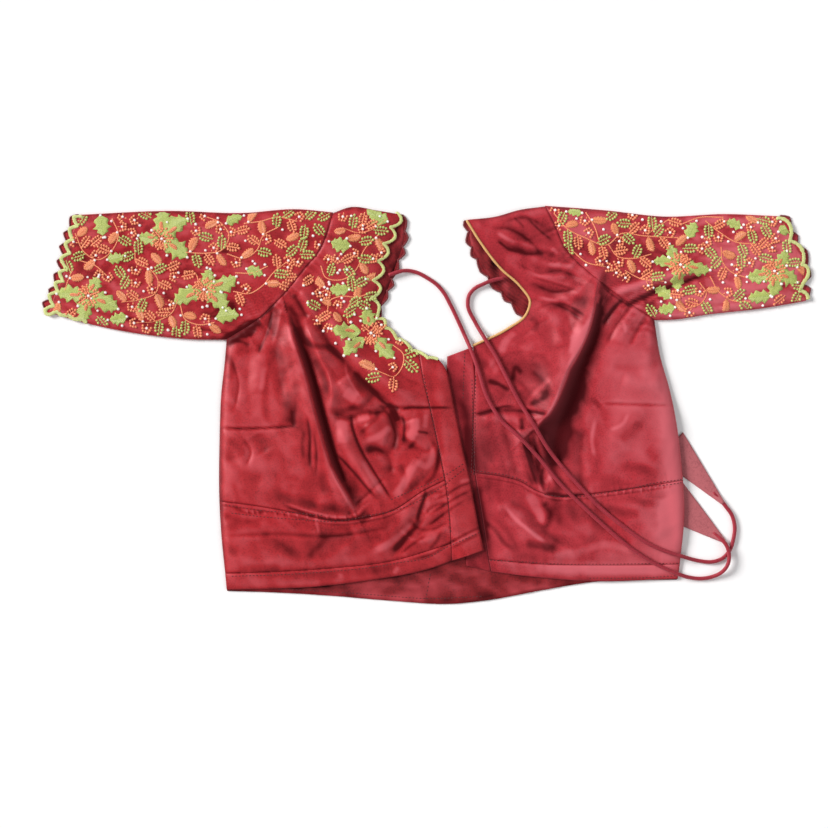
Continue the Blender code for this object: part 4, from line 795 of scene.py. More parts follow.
def weaveTree():
    # Slubbed plain weave: uneven threads both ways and broad changes of shade
    tree, start, end = newTree("silkWeave", "ShaderNodeTree",
                               {"Cloth": "Color", "Deep": "Color", "Slub": "Float", "Matt": "Float"},
                               {"Color": "Color", "Roughness": "Float", "Height": "Float"})
    weft = stretchedNoise(tree, (70, 1150, 200), 3)
    warp = stretchedNoise(tree, (1000, 90, 200), 2)
    broad = stretchedNoise(tree, (26, 34, 20), 3)
    patchy = stretchedNoise(tree, (34, 24, 20), 2, 1.6)
    grain = stretchedNoise(tree, (760, 760, 300), 2)
    thread = scaled(tree, weft, 0.65, scaled(tree, warp, 0.35))
    shade = scaled(tree, thread, start["Slub"], -1.65)
    shade = scaled(tree, broad, 0.6, shade)
    shade = scaled(tree, grain, 2.3, shade)
    shade = scaled(tree, scaled(tree, patchy, 9, -5, clamp=True), 0.2, shade, clamp=True)
    feed(tree, end, {"Color": mixColour(tree, shade, start["Cloth"], start["Deep"]),
                     "Roughness": scaled(tree, thread, 0.18, start["Matt"]), "Height": thread})
    return tree


def threadTree():
    # Satin stitches laid side by side along the first direction of the piece's own map
    tree, start, end = newTree("satinThread", "ShaderNodeTree",
                               {"Light": "Color", "Dark": "Color", "Turn": "Float", "Vein": "Float"},
                               {"Color": "Color", "Height": "Float"})
    split = addNode(tree, "ShaderNodeSeparateXYZ", {0: addNode(tree, "ShaderNodeTexCoord")["UV"]})
    ridge = scaled(tree, mathNode(tree, "SINE", scaled(tree, split["X"], start["Turn"])), 0.5, 0.5)
    shade = scaled(tree, stretchedNoise(tree, (900, 900, 900), 2), 1.5, scaled(tree, ridge, -0.25, -0.45))
    middle = scaled(tree, mathNode(tree, "ABSOLUTE", split["Y"]), -1.7, 1, clamp=True)
    ribs = scaled(tree, mathNode(tree, "SINE", scaled(tree, split["X"], 2.9)), 0.35, middle)
    shade = scaled(tree, ribs, start["Vein"], shade, clamp=True)
    feed(tree, end, {"Color": mixColour(tree, shade, start["Light"], start["Dark"]), "Height": ridge})
    return tree


weave = weaveTree()
satin = threadTree()


def newMaterial(name):
    made = bpy.data.materials.new(name)
    made.use_nodes = True
    return made, made.node_tree, made.node_tree.nodes["Principled BSDF"]


def bumpFrom(tree, height, strength):
    bump = {"Height": height, "Strength": strength, "Distance": 0.0002}
    return addNode(tree, "ShaderNodeBump", bump)["Normal"]


def silkMaterial(name, cloth, deep, sheenAndHighlight, matt=0.36, sheen=0.2):
    # Painted shade in the hollows and painted highlight, lighter and more pink, on the ridges, both read from
    # the painted shading attribute; also more pink where it turns away
    made, tree, shader = newMaterial(name)
    look = addNode(tree, "ShaderNodeGroup", {"Cloth": cloth, "Deep": deep, "Slub": 0.55, "Matt": matt},
                   node_tree=weave)
    facing = addNode(tree, "ShaderNodeLayerWeight", {"Blend": 0.45})["Facing"]
    paintedShading = addNode(tree, "ShaderNodeAttribute", attribute_name="paintedShading")["Fac"]
    sunk = scaled(tree, paintedShading, 0.96, clamp=True)
    base = mixColour(tree, sunk, look["Color"], tuple(0.34 * v for v in deep[:3]) + (1,))
    base = mixColour(tree, scaled(tree, paintedShading, -0.85, clamp=True), base, sheenAndHighlight)
    # Under the painted shade the sheen and gloss are turned down as well
    shine = scaled(tree, sunk, -1, 1)
    feed(tree, shader, {
        "Base Color": mixColour(tree, scaled(tree, facing, 0.4), base, sheenAndHighlight),
        "Roughness": look["Roughness"],
        "Normal": bumpFrom(tree, look["Height"], 0.35),
        "Sheen Weight": scaled(tree, shine, sheen),
        "Sheen Tint": sheenAndHighlight,
        "Sheen Roughness": 0.45,
        "Specular IOR Level": scaled(tree, shine, 0.4, 0.08),
        "Specular Tint": (1, 0.5, 0.54, 1),
        "Anisotropic": 0.35,
    })
    return made


def threadMaterial(name, light, dark, pitch=0.45, matt=0.42, vein=0.0):
    made, tree, shader = newMaterial(name)
    look = addNode(tree, "ShaderNodeGroup", {"Light": light, "Dark": dark, "Turn": 2 * math.pi / pitch,
                                             "Vein": vein}, node_tree=satin)
    feed(tree, shader, {"Base Color": look["Color"], "Normal": bumpFrom(tree, look["Height"], 0.6),
                        "Roughness": matt, "Sheen Weight": 0.2})
    return made


# Silk rows: cloth colour, a darker colour for random mottling and painted shade, and a pink for sheen, for the
# turn away from view and for painted highlight
colours = {
    "silk": ((0.42, 0.019, 0.025, 1), (0.155, 0.006, 0.009, 1), (0.64, 0.1, 0.12, 1)),
    "silkPink": ((0.42, 0.025, 0.036, 1), (0.16, 0.008, 0.013, 1), (0.66, 0.13, 0.16, 1)),
    "silkDark": ((0.23, 0.01, 0.013, 1), (0.045, 0.003, 0.005, 1), (0.52, 0.06, 0.075, 1)),
    "cord": ((0.33, 0.025, 0.04, 1), (0.15, 0.01, 0.018, 1), (0.62, 0.14, 0.18, 1)),
    "tassel": ((0.47, 0.13, 0.145, 1), (0.26, 0.06, 0.07, 1), (0.7, 0.28, 0.3, 1)),
}
silk = silkMaterial("silkRed", *colours["silk"])
silkPink = silkMaterial("silkPinkish", *colours["silkPink"])
silkDark = silkMaterial("silkInside", *colours["silkDark"], matt=0.46, sheen=0.08)
cordSilk = silkMaterial("cordSilk", *colours["cord"], matt=0.42)
tasselSilk = silkMaterial("tasselSilk", *colours["tassel"], matt=0.55, sheen=0.25)
greenThread = threadMaterial("greenThread", (0.56, 0.62, 0.17, 1), (0.27, 0.33, 0.07, 1))
orangeThread = threadMaterial("orangeThread", (0.93, 0.31, 0.14, 1), (0.58, 0.12, 0.05, 1))
greenEdging = threadMaterial("greenEdging", (0.68, 0.73, 0.28, 1), (0.36, 0.43, 0.11, 1))
greenLeaf = threadMaterial("greenLeafThread", (0.54, 0.62, 0.16, 1), (0.26, 0.34, 0.06, 1), vein=0.35)
orangeLeaf = threadMaterial("orangeLeafThread", (0.95, 0.33, 0.14, 1), (0.58, 0.1, 0.04, 1), vein=0.6)
maroonThread = threadMaterial("maroonThread", (0.2, 0.012, 0.018, 1), (0.09, 0.006, 0.009, 1))
goldCloth = threadMaterial("goldCloth", (0.74, 0.42, 0.15, 1), (0.52, 0.22, 0.06, 1), pitch=1.1)
# Seam thread, darker than the cloth: its own colour together with painted shade of the stitches
seamThread = threadMaterial("seamThread", (0.1, 0.006, 0.009, 1), (0.05, 0.003, 0.005, 1), matt=0.9)
print("materials done")


def gridEdges(side):
    # Panel plans of one front, top to bottom; columns run from the side seam to the placket
    e = edges[side]
    count = lambda key: max(2, round(lengthOf(e[key]) / cloth["fineStep"]))
    columns, neck, seam = count("bandSeam"), count("neckline"), count("placketSeam")
    rows, bandRows, hemRows = neck + seam, count("bandSide"), count("hemSide")
    arm = round(rows * lengthOf(e["armhole"]) / (lengthOf(e["armhole"]) + lengthOf(e["side"])))
    seamRun, hemRun = smoothPath(e["bandSeam"], columns), smoothPath(e["hemSeam"], columns)
    inner = chain((e["neckline"], neck), (e["placketSeam"], seam))
    bandEnd, hemEnd = smoothPath(e["placketBand"], bandRows), smoothPath(e["placketHem"], hemRows)
    seamEdge = np.concatenate([inner[neck:], bandEnd[1:], hemEnd[1:]])
    centreEdge = smoothPath(e["centre"], len(seamEdge) - 1)
    across = np.linspace(0, 1, 13)[:, None]
    return {
        "front": patch(chain((e["armhole"], arm), (e["side"], rows - arm)), inner,
                       smoothPath(e["shoulder"], columns), seamRun),
        "waistband": patch(smoothPath(e["bandSide"], bandRows), bandEnd, seamRun, hemRun),
        "hem": patch(smoothPath(e["hemSide"], hemRows), hemEnd, hemRun, smoothPath(e["hemEdge"], columns)),
        "placket": patch(seamEdge, centreEdge, *(seamEdge[k] * (1 - across) + centreEdge[k] * across
                                                 for k in (0, -1))),
    }, neck


panels, neckRows = {}, {}
clothOf = {"right": (silk, "silk"), "left": (silkPink, "silk_pink")}
for side, (material, slot) in clothOf.items():
    plansOf, neckRows[side] = gridEdges(side)
    for part, plane in plansOf.items():
        x, y = plane[..., 0], plane[..., 1]
        top = surveyed(side, x, y)
        low = top - thicknessOn(side, x, y)
        obj = wall(part + side.title(), raised(plane, top), raised(plane, low), material)
        shaded(obj, surveyed(side, x, y, "paintedShading"))
        panels[part + side.title()] = (ridden(obj, part + "_" + side), plane)
print("front panels done")


def wrinkled(x, y):
    # Streaky wrinkles of the back where it shows inside the neck
    shown = eased((x + 60) / 30) * eased((130 - x) / 30) * eased((y - 70) / 30)
    return shown * (creaseNoise(x / 9 + y / 24, y / 26 - x / 70, 31) + 0.6 * creaseNoise(x / 4.5, y / 15, 37))


underside = 0.05  # lowest points, just above the table
backSizes = {"columns": 34, "wrinkle": 1, "hemRipple": 0.7, "clear": 4}
backOuter = chain((rightEdges["armhole"], 60), (backEdges["sideRight"], 96), (backEdges["hem"], 180),
                  (backEdges["sideLeft"], 96), (leftEdges["armhole"][::-1], 60))
backPlane = patch(backOuter, smoothPath(backEdges["neck"], len(backOuter) - 1),
                  smoothPath(rightEdges["shoulder"], backSizes["columns"]),
                  smoothPath(leftEdges["shoulder"], backSizes["columns"]))


def backHeight(x, y):
    # Top of the back panel, low wherever the fronts and sleeves lie on it
    openNeck = distanceTo([smoothPath(backEdges["neck"], 60)], x, y)
    away = np.where(y > 60, np.minimum(openNeck / backSizes["clear"], 1), 0)
    bare = eased((y + 200) / 2) * eased((-158 - y) / 8)
    ripple = creaseNoise(x / 13, y / 9, 41) * backSizes["hemRipple"] * bare
    return (cloth["wall"] + tasselLift(x, y) + wrinkled(x, y) * backSizes["wrinkle"] * (0.25 + 0.5 * away)
            + np.maximum(ripple, -0.3))


x, y = backPlane[..., 0], backPlane[..., 1]
back = wall("backPanel", raised(backPlane, backHeight(x, y)), raised(backPlane, tasselLift(x, y) + underside),
            silkDark)
# Painted shading of the back: a little painted shade all over, painted highlight and shade along the wrinkles
# inside the neck, and on the bare hem a painted highlight with bands of painted shade and highlight and painted
# shadow just below the fronts' hems
hemShadeBands = 0.8 * creaseNoise(x / 34 + y / 30, y / 13, 51) + 0.5 * creaseNoise(x / 12, y / 8 + x / 40, 53)
hemShadeBands += 0.16 * np.exp(-(((x - 40) / 50) ** 2))
hemShade = np.exp(-distanceTo([smoothPath(e["hemEdge"], 20) for e in edges.values()], x, y) / 4)
bareHem = eased((-146 - y) / 6)
shaded(back, 0.3 - 1.5 * wrinkled(x, y) + bareHem * (-0.55 + 1.5 * hemShadeBands + 0.6 * hemShade))
ridden(back, "back")
print("back done")

sleeveSizes = {"along": 118, "round": 54, "lowerWall": 1.1}
sleeves = {}
for side, (material, slot) in clothOf.items():
    e = edges[side]
    plane = patch(*(smoothPath(e[key], sleeveSizes[cells]) for key, cells in (
        ("sleeveTop", "along"), ("sleeveUnder", "along"), ("armhole", "round"), ("cuff", "round"))))
    x, y = plane[..., 0], plane[..., 1]
    top = surveyed(side, x, y)
    # The fold at the top and at the underarm is a round turn of the cloth
    away = unit(np.stack([plane[:, 0] - plane[:, 1], plane[:, -1] - plane[:, -2]], axis=1))
    drawn = plane.copy()
    drawn[:, 0] -= away[:, 0]
    drawn[:, -1] -= away[:, 1]
    layers = []
    for cells, upper, low, reach, shares in (
            (plane, top, underside, 0.9, (0.8, 0.5, 0.2)),
            (drawn, top - thicknessOn(side, x, y), sleeveSizes["lowerWall"], 0.2, (0.7, 0.5, 0.3))):
        turns = []
        for k in (-1, 0):
            for share in shares:
                rim = plane[:, k] + away[:, k] * (reach * math.sin(math.pi * (0.15 + 0.7 * share)))
                turns.append(raised(rim, underside + (top[:, k] - underside) * share)[:, None])
        lower = raised(cells, np.full(top.shape, low))[:, ::-1]
        layers.append(np.concatenate([raised(cells, upper)] + turns[:3] + [lower] + turns[:2:-1], axis=1))
    obj = wall("sleeve" + side.title(), *layers, material, wrap=True)
    # The underarm edge of the sleeve is lifted with painted highlight
    rim = np.exp(-((nearestOn(smoothPath(e["sleeveUnder"], 40), x, y)[0] / 8) ** 2)) * (np.abs(x) > 212)
    sleeveShading = np.zeros(layers[0].shape[:2])
    sleeveShading[:, : top.shape[1]] = surveyed(side, x, y, "paintedShading") - 0.6 * rim
    sleeves[side] = (ridden(shaded(obj, sleeveShading), "sleeve_" + side), plane, top)
print("sleeves done")


def sideways(points, turn):
    tangent = unit(np.gradient(points[:, :2], axis=0))
    return np.stack([-tangent[:, 1], tangent[:, 0]], axis=1) * turn


def stationsOf(points):
    return np.concatenate([[0], np.cumsum(np.linalg.norm(np.diff(points, axis=0), axis=1))])


def resampled(points, step):
    points = np.asarray(points, float)
    stations = stationsOf(points[:, :2])
    at = np.linspace(0, stations[-1], max(2, round(stations[-1] / step)) + 1)
    return np.stack([np.interp(at, stations, points[:, k]) for k in range(points.shape[1])], axis=1), at


def scallopOffsets(at, seed, pitches, low, depth, calm=None, roundness=0.5):
    # Round lobes with sharp notches between them, each of its own length and depth
    rng = random.Random(seed)
    bounds = [0]
    while bounds[-1] < at[-1] - 4:
        bounds.append(bounds[-1] + rng.uniform(*pitches))
    bounds[-1] = max(bounds[-1], at[-1] + 0.1)
    tops = np.array([rng.uniform(0.72, 1) for _ in bounds])
    lobe = np.clip(np.searchsorted(bounds, at, side="right") - 1, 0, len(bounds) - 2)
    bounds = np.array(bounds)
    t = (at - bounds[lobe]) / (bounds[lobe + 1] - bounds[lobe])
    pointed = np.where(t < 0.38, t / 0.38, (1 - t) / 0.62)
    rounded = np.abs(np.sin(np.pi * t**0.78)) ** 0.7
    offset = low + depth * tops[lobe] * (roundness * rounded + (1 - roundness) * pointed)
    if calm is None:
        return offset
    fade = eased((at / at[-1] - calm[0]) / (calm[1] - calm[0]))
    return offset * (1 - fade) + (-0.9 + 0.3 * (offset - low - depth / 2)) * fade


def ribbon(name, rows, thick, material, uvs):
    # Closed strip from a grid of top points; rows[0] and rows[-1] are its two long edges
    top = np.array(rows)
    uvs = np.array(uvs).reshape(-1, 2)
    return wall(name, top, top - (0, 0, thick), material, uvs=np.concatenate([uvs, uvs]))


edgingSizes = {"step": 0.6, "arch": 0.45, "lift": 0.25, "overlap": 0.6, "groundThick": 0.7, "bandThick": 0.55,
               "fray": 0.1}


def scallopEdge(name, border, turn, ground, thread, width, seed, shape, heightOf=None):
    # A cloth edge cut in scallops, with a band of satin stitch that follows them
    s = edgingSizes
    base, at = resampled(border, s["step"])
    away = sideways(base, turn)
    for _ in range(4):
        away[1:-1] = (away[:-2] + away[1:-1] + away[2:]) / 3
    away = unit(away)
    offset = scallopOffsets(at, seed, **shape)
    flat = base[:, :2]
    centre = flat + away * offset[:, None]
    across = unit(sideways(centre, turn) + away * 0.9)
    inside = np.minimum(offset, 0) - s["overlap"]
    rows = [raised(flat + away * (inside + (offset + width * 0.3 - inside) * r)[:, None], base[:, 2] - 0.05)
            for r in np.linspace(0, 1, 5)]
    made = [ribbon(name + "Ground", rows, s["groundThick"], ground, np.zeros((5, len(at), 2)))]
    fray = 1 + s["fray"] * np.random.default_rng(seed).standard_normal(len(at))
    rows, uvs = [], []
    for share in np.linspace(-1, 1, 7):
        point = centre + across * (share * width / 2 * fray)[:, None]
        z = base[:, 2]
        if heightOf is not None:
            inner = ((point - flat) * away).sum(axis=1) < 0.4
            z = np.where(inner, np.maximum(z, heightOf(point[:, 0], point[:, 1])), z)
        rows.append(raised(point, z + s["lift"] + s["arch"] * (1 - share**2) ** 0.6))
        uvs.append(np.stack([at, np.full(len(at), share)], axis=1))
    return made + [ribbon(name + "Band", rows, s["bandThick"], thread, uvs)]


def joined(objects, name):
    # One piece from several, keeping their materials and maps
    keep = objects[0]
    with bpy.context.temp_override(active_object=keep, object=keep, selected_objects=objects,
                                   selected_editable_objects=objects):
        bpy.ops.object.join()
    keep.name = keep.data.name = name
    return keep


liftOf = {"right": lambda x, y: surveyed("right", x, y), "left": lambda x, y: surveyed("left", x, y)}
neckRun = np.concatenate([panels["frontRight"][1][: neckRows["right"] + 1, -1],
                          panels["placketRight"][1][0, 1:]])
neckShape = {"pitches": (11, 19), "low": -6, "depth": 10.6, "calm": (0.57, 0.7), "roundness": 0.92}
neckEdge = scallopEdge("neckEdging", raised(neckRun, liftOf["right"](*neckRun.T)), 1, silk, greenEdging, 3.1, 5,
                       neckShape, liftOf["right"])
neckBand = ridden(joined(neckEdge, "neckEdging"), "neck_edging_front")
backRun = backPlane[:, -1]
backEdge = scallopEdge("neckEdgingBack", raised(backRun, backHeight(*backRun.T)), 1, silkDark, maroonThread,
                       1.8, 9, {"pitches": (12, 21), "low": -0.2, "depth": 4.8})
backBand = ridden(joined(backEdge, "neckEdgingBack"), "neck_edging_back")

cuffShapes = {
    "right": {"turn": -1, "seed": 14, "under": (11, 17),
              "upper": {"pitches": (10, 16), "low": -3.4, "depth": 8.4, "roundness": 0.5, "calm": (0.72, 0.8)}},
    "left": {"turn": 1, "seed": 23, "under": (14, 22),
             "upper": {"pitches": (17, 27), "low": -3.6, "depth": 8.6, "roundness": 0.95}},
}
cuffs = {}
for side, row in cuffShapes.items():
    obj, plane, top = sleeves[side]
    border = raised(plane[-1], top[-1])
    lowBorder = border * (1, 1, 0) + (0, 0, 1)
    if side == "right":
        # The band runs on round the corner of this cuff
        border = np.concatenate([border, raised(plane[-2:-28:-1, -1], top[-2:-28:-1, -1])])
    upper = scallopEdge("cuff" + side.title(), border, row["turn"], clothOf[side][0], greenEdging, 3.6,
                        row["seed"], row["upper"], liftOf[side])
    lower = scallopEdge("cuffLow" + side.title(), lowBorder, row["turn"], clothOf[side][0], maroonThread, 1.6,
                        row["seed"] + 40, {"pitches": row["under"], "low": 1.2, "depth": 7.6})
    cuffs[side] = ridden(joined(upper + lower, "cuffEdging" + side.title()), "cuff_edging_" + side)
print("edgings done")

# Piping along the left neckline: a round fold of bias cloth
pipe = {"diameter": 2.5, "step": 1.2, "sides": 10}
pipeRun = panels["frontLeft"][1][: neckRows["left"] + 1, -1]
pipeLine, pipeAt = resampled(raised(pipeRun, liftOf["left"](*pipeRun.T)), pipe["step"])
pipeLine[:, :2] += sideways(pipeLine, -1) * (pipe["diameter"] / 2 - 0.35)
pipeLine[:, 2] = np.maximum(pipeLine[:, 2] - 0.5, cloth["rest"])


def roundTube(name, line, radii, sides, material, twist=0.0):
    # Closed round tube along a run of points, with its length as the first map direction
    tangent = unit(np.gradient(line, axis=0))
    side = unit(np.stack([-tangent[:, 1], tangent[:, 0], np.zeros(len(line))], axis=1))
    up = np.cross(tangent, side)
    at = stationsOf(line)
    verts, uvs = [], []
    for i in range(len(line)):
        for k in range(sides):
            angle = 2 * math.pi * k / sides
            verts.append(line[i] + radii[i] * (math.cos(angle) * side[i] + math.sin(angle) * up[i]))
            uvs.append((at[i] + twist * k / sides, k / sides))
    first = len(verts)
    base = first - sides
    pairs = [(k, (k + 1) % sides) for k in range(sides)]
    faces = [(i + k, i + d, i + sides + d, i + sides + k) for i in range(0, base, sides) for k, d in pairs]
    faces += [(first, d, k) for k, d in pairs] + [(first + 1, base + k, base + d) for k, d in pairs]
    return newMesh(name, verts + [line[0], line[-1]], faces, material, uvs + [(at[0], 0), (at[-1], 0)])


swell = pipe["diameter"] / 2 * (1 + 0.05 * np.sin(pipeAt / 2.3))
swell[[0, -1]] *= 0.7
piping = ridden(roundTube("neckPiping", pipeLine, swell, pipe["sides"], goldCloth, twist=2.2), "neck_piping")
print("piping done")

# Embroidery: each motif is laid on the cloth by its height there
thread = {
    "lift": 0.12,
    "leafHeight": 0.42,
    "patchHeight": 0.4,
    "knot": 1.36,
    "knotLift": 0.32,
    "gem": 1.4,
    "gemLift": 0.2,
    "dotClear": 1.1,  # least distance of knots and stones from the edge of the cloth
    "stemClear": 0.9,
    "stemLift": 0.2,
    "stemStitch": 2.1,
    "stemWidth": 1.45,
}
# Half width of a leaf along its length: pointed lobes, or small teeth
leafShapes = {
    "holly": [(0, 0.14), (0.06, 0.38), (0.13, 0.66), (0.21, 0.96), (0.26, 0.74), (0.32, 0.6), (0.4, 0.82),
              (0.49, 1.04), (0.54, 0.74), (0.6, 0.54), (0.67, 0.58), (0.75, 0.68), (0.79, 0.44), (0.85, 0.3),
              (0.91, 0.2), (0.96, 0.11), (1, 0.02)],
    "oval": [(0, 0.16), (0.08, 0.52), (0.17, 0.92), (0.21, 0.68), (0.31, 1.06), (0.36, 0.78), (0.46, 1.08),
             (0.51, 0.76), (0.62, 0.98), (0.67, 0.64), (0.78, 0.74), (0.83, 0.44), (0.92, 0.28), (1, 0.03)],
    "patch": [(0, 0.3), (0.12, 0.8), (0.3, 1), (0.55, 0.95), (0.8, 0.7), (0.94, 0.4), (1, 0.1)],
}


def inwardOf(border, x, y):
    # How far inside a closed border the places are, with the nearest place on it
    away, along, hand = nearestOn(border, x, y)
    steps = stationsOf(border)
    return away * np.sign(hand), np.interp(along, steps, border[:, 0]), np.interp(along, steps, border[:, 1])


def keptInside(work, x, y):
    # Draws what would hang over the edge of the cloth back onto it
    rim, least = 1.7, 0.45
    signed, nearX, nearY = inwardOf(work["border"], x, y)
    wanted = least + (rim - least) * np.exp((np.minimum(signed, rim) - rim) / 1.6)
    size = np.maximum(np.abs(signed), 0.05) * np.where(signed < 0, -1, 1)
    scale = np.where(signed < rim, wanted / size, 1)
    return nearX + (x - nearX) * scale, nearY + (y - nearY) * scale


def spot(x, y, angle, reach, aside=0):
    # The place at a distance along a heading, and aside of it to the left
    c, s = math.cos(angle), math.sin(angle)
    return x + reach * c - aside * s, y + reach * s + aside * c


def addLeaf(work, colour, x, y, angle, length, width, kind="holly", lift=0.0, height=None, seed=1.0):
    # A leaf of satin stitch from its base point, closed, with pointed or toothed edges
    shape = np.array(leafShapes[kind])
    jitter = 1 + 0.1 * np.sin(np.arange(len(shape)) * 2.3 + seed)
    t, half = shape[:, 0][:, None], (shape[:, 1] * jitter * width / 2)[:, None]
    s = np.linspace(-1, 1, 7 if kind == "holly" else 5)[None, :]
    lean = 1 + 0.14 * math.sin(seed * 2.7) * np.sign(s)
    along = t * length + 0.13 * length * (s**2) * np.sin(np.pi * t)
    aside = s * half * lean + 0.07 * length * math.sin(seed * 1.9) * np.sin(math.pi * t)
    px, py = keptInside(work, *spot(x, y, angle, along, aside))
    spine = 0.5 if kind == "oval" else 0.3
    swell = (height or thread["leafHeight"]) * (1 - 0.75 * s**2) * np.minimum(1, 0.4 + half / width * 2)
    swell = swell * (1 - spine * np.exp(-((s / 0.2) ** 2)))
    ground = liftOf[work["side"]](px, py) + lift
    top = np.stack([px, py, ground + thread["lift"] + swell], axis=-1)
    low = np.stack([px, py, ground - 0.3], axis=-1)
    flat = np.stack([along - 0.8 * np.abs(s * half), s * half + 0 * along], axis=-1).reshape(-1, 2)
    leaves = work[colour]
    base = sum(len(rows) for rows in leaves["verts"])
    leaves["verts"].append(np.concatenate([top.reshape(-1, 3), low.reshape(-1, 3)]))
    leaves["uvs"] += [flat, flat]
    leaves["faces"] += [tuple(base + k for k in face) for face in wallFaces(*top.shape[:2])]


def newWork(side, border):
    # Planned embroidery of one area; the border runs anticlockwise
    turn = np.sum(border[:-1, 0] * border[1:, 1] - border[1:, 0] * border[:-1, 1])
    plan = {key: [] for key in ("greenKnots", "orangeKnots", "gems", "orangeStems", "greenStems", "taken")}
    for colour in ("green", "orange"):
        plan[colour] = {"verts": [], "faces": [], "uvs": []}
    return {"side": side, "border": border if turn > 0 else border[::-1], **plan}


def addBerries(work, x, y, angle, size, colour, pairs=4):
    # Round knots in pairs on short stalks along a stem, with one at its tip
    length = (pairs * 2.75 + 0.2) * size
    place = lambda a, b=0: spot(x, y, angle, a, b)
    knots, stems = work[colour + "Knots"], work[colour + "Stems"]
    stems.append([place(-0.8), place(length * 0.5, 0.25 * size), place(length)])
    for k in range(pairs):
        for hand in (-1, 1):
            a = (1.8 + 2.7 * k + 0.5 * hand) * size
            b = (2.1 + 1.5 * math.sin(math.pi * (k + 0.7) / (pairs + 0.4))) * size * hand
            knots.append((*place(a, b), (0.62 + 0.34 * size) * (1 + 0.1 * math.sin(k * 2.1 + x))))
            stems.append([place(a - 1.5 * size), place(a - 0.2, b * 0.72)])
    knots.append((*place(length + 1), 1))
    work["taken"].append((*place(length / 2), length * 0.58))


def addBurst(work, x, y, angle, size):
    # Knots fanned out from one stone on short stalks
    work["gems"].append((x, y, 1))
    for k in range(7):
        a = angle + math.radians(-108 + 36 * k)
        reach = (4.6 - 0.6 * (k % 2)) * size
        work["orangeKnots"].append((*spot(x, y, a, reach), 0.95))
        if k % 2:
            work["orangeStems"].append([spot(x, y, a, 1.2), spot(x, y, a, 0.8 * reach)])
    work["orangeStems"].append([(x, y), spot(x, y, angle + math.pi, 3.4)])
    work["taken"].append((*spot(x, y, angle, 1.2), 4.9 * size))


def addFlower(work, x, y, leaves, seed):
    # Pointed leaves round a centre, each with an orange patch, and berries between them
    rng = random.Random(seed)
    for angleDeg, length, width, *reach in leaves:
        angle = math.radians(angleDeg)
        bx, by = spot(x, y, angle, reach[0] if reach else 3.4)
        addLeaf(work, "green", bx, by, angle, length * 1.08, width * 1.16, seed=rng.random() * 9)
        addLeaf(work, "orange", *spot(bx, by, angle, 0.22 * length), angle, length * 0.36, width * 0.22,
                "patch", 0.42, thread["patchHeight"], rng.random() * 9)
        for share, aside in ((1.08, 0), (0.4, 0.56), (0.4, -0.56)):
            if aside == 0 or rng.random() < 0.6:
                place = spot(bx, by, angle, length * share, width * aside)
                work["gems"].append((*place, rng.uniform(0.9, 1.15)))
        work["taken"].append((*spot(bx, by, angle, length * 0.5), length * 0.52))
    angles = sorted(row[0] for row in leaves)
    for first, second in zip(angles, angles[1:] + [angles[0] + 360]):
        if second - first > 46:
            for share in ((0.5,) if second - first < 90 else (0.3, 0.52, 0.74)):
                a = math.radians(first + (second - first) * share)
                addBerries(work, *spot(x, y, a, 4.6), a, 0.88, "orange", 2)
    work["orangeKnots"] += [(*spot(x, y, k * math.pi / 3 + 0.3, 2.7), 0.85) for k in range(6)]
    work["gems"] += [(x, y, 1.15), (x + 2.9, y - 2.4, 0.9)]
    work["taken"].append((x, y, 6))


def addSprig(work, x, y, angleDeg, length, width, kind):
    # One leaf with a stone or three
    angle = math.radians(angleDeg)
    holly = kind == "holly"
    addLeaf(work, "green" if holly else "orange", x, y, angle, length, width, kind, seed=x * 0.37 + y)
    work["taken"].append((*spot(x, y, angle, length / 2), length * 0.5))
    chance = abs(math.sin(x * 12.9898) * 43758.5453) % 1
    if holly or chance < 0.5:
        work["gems"].append((x, y, 1))
    if holly:
        work["gems"] += [(*spot(x, y, angle, length * share, width * aside), 0.95)
                         for share, aside in ((1.1, 0), (0.36, 0.6))]


def roomAt(work, x, y, reach):
    if inwardOf(work["border"], np.array(x), np.array(y))[0] < reach * 0.45:
        return False
    return all(math.hypot(x - tx, y - ty) > tr + reach for tx, ty, tr in work["taken"])


def addVine(work, points, seed):
    # A stem with leaves, berries and bursts set along it by turns
    rng = random.Random(seed)
    work["orangeStems"].append(points)
    line, at = resampled(smoothPath(points, 60), 1)
    tangent = np.gradient(line, axis=0)
    station, hand, turn = 3, rng.choice((-1, 1)), rng.randrange(4)
    while station < at[-1]:
        x, y = line[int(station)]
        headX, headY = tangent[int(station)]
        outDeg = math.degrees(math.atan2(headY, headX)) + hand * rng.uniform(46, 70)
        out = math.radians(outDeg)
        if roomAt(work, *spot(x, y, out, 8), 3.6):
            if turn % 4 == 0:
                addSprig(work, *spot(x, y, out, 1.2), outDeg, rng.uniform(12.5, 15.5), rng.uniform(7, 8.8),
                         "oval")
            elif turn % 4 == 3:
                addBurst(work, *spot(x, y, out, 6), out, 0.95)
            else:
                size, colour = (1, "green") if turn % 4 == 1 else (0.95, "orange")
                addBerries(work, *spot(x, y, out, 1.8), out, size, colour)
            turn += 1
        hand = -hand
        station += rng.uniform(0.45, 0.7) * 10
    end = math.atan2(tangent[-1, 1], tangent[-1, 0])
    if roomAt(work, *spot(*line[-1], end, 6), 3.2):
        addBurst(work, *spot(*line[-1], end, 3), end, 0.9)


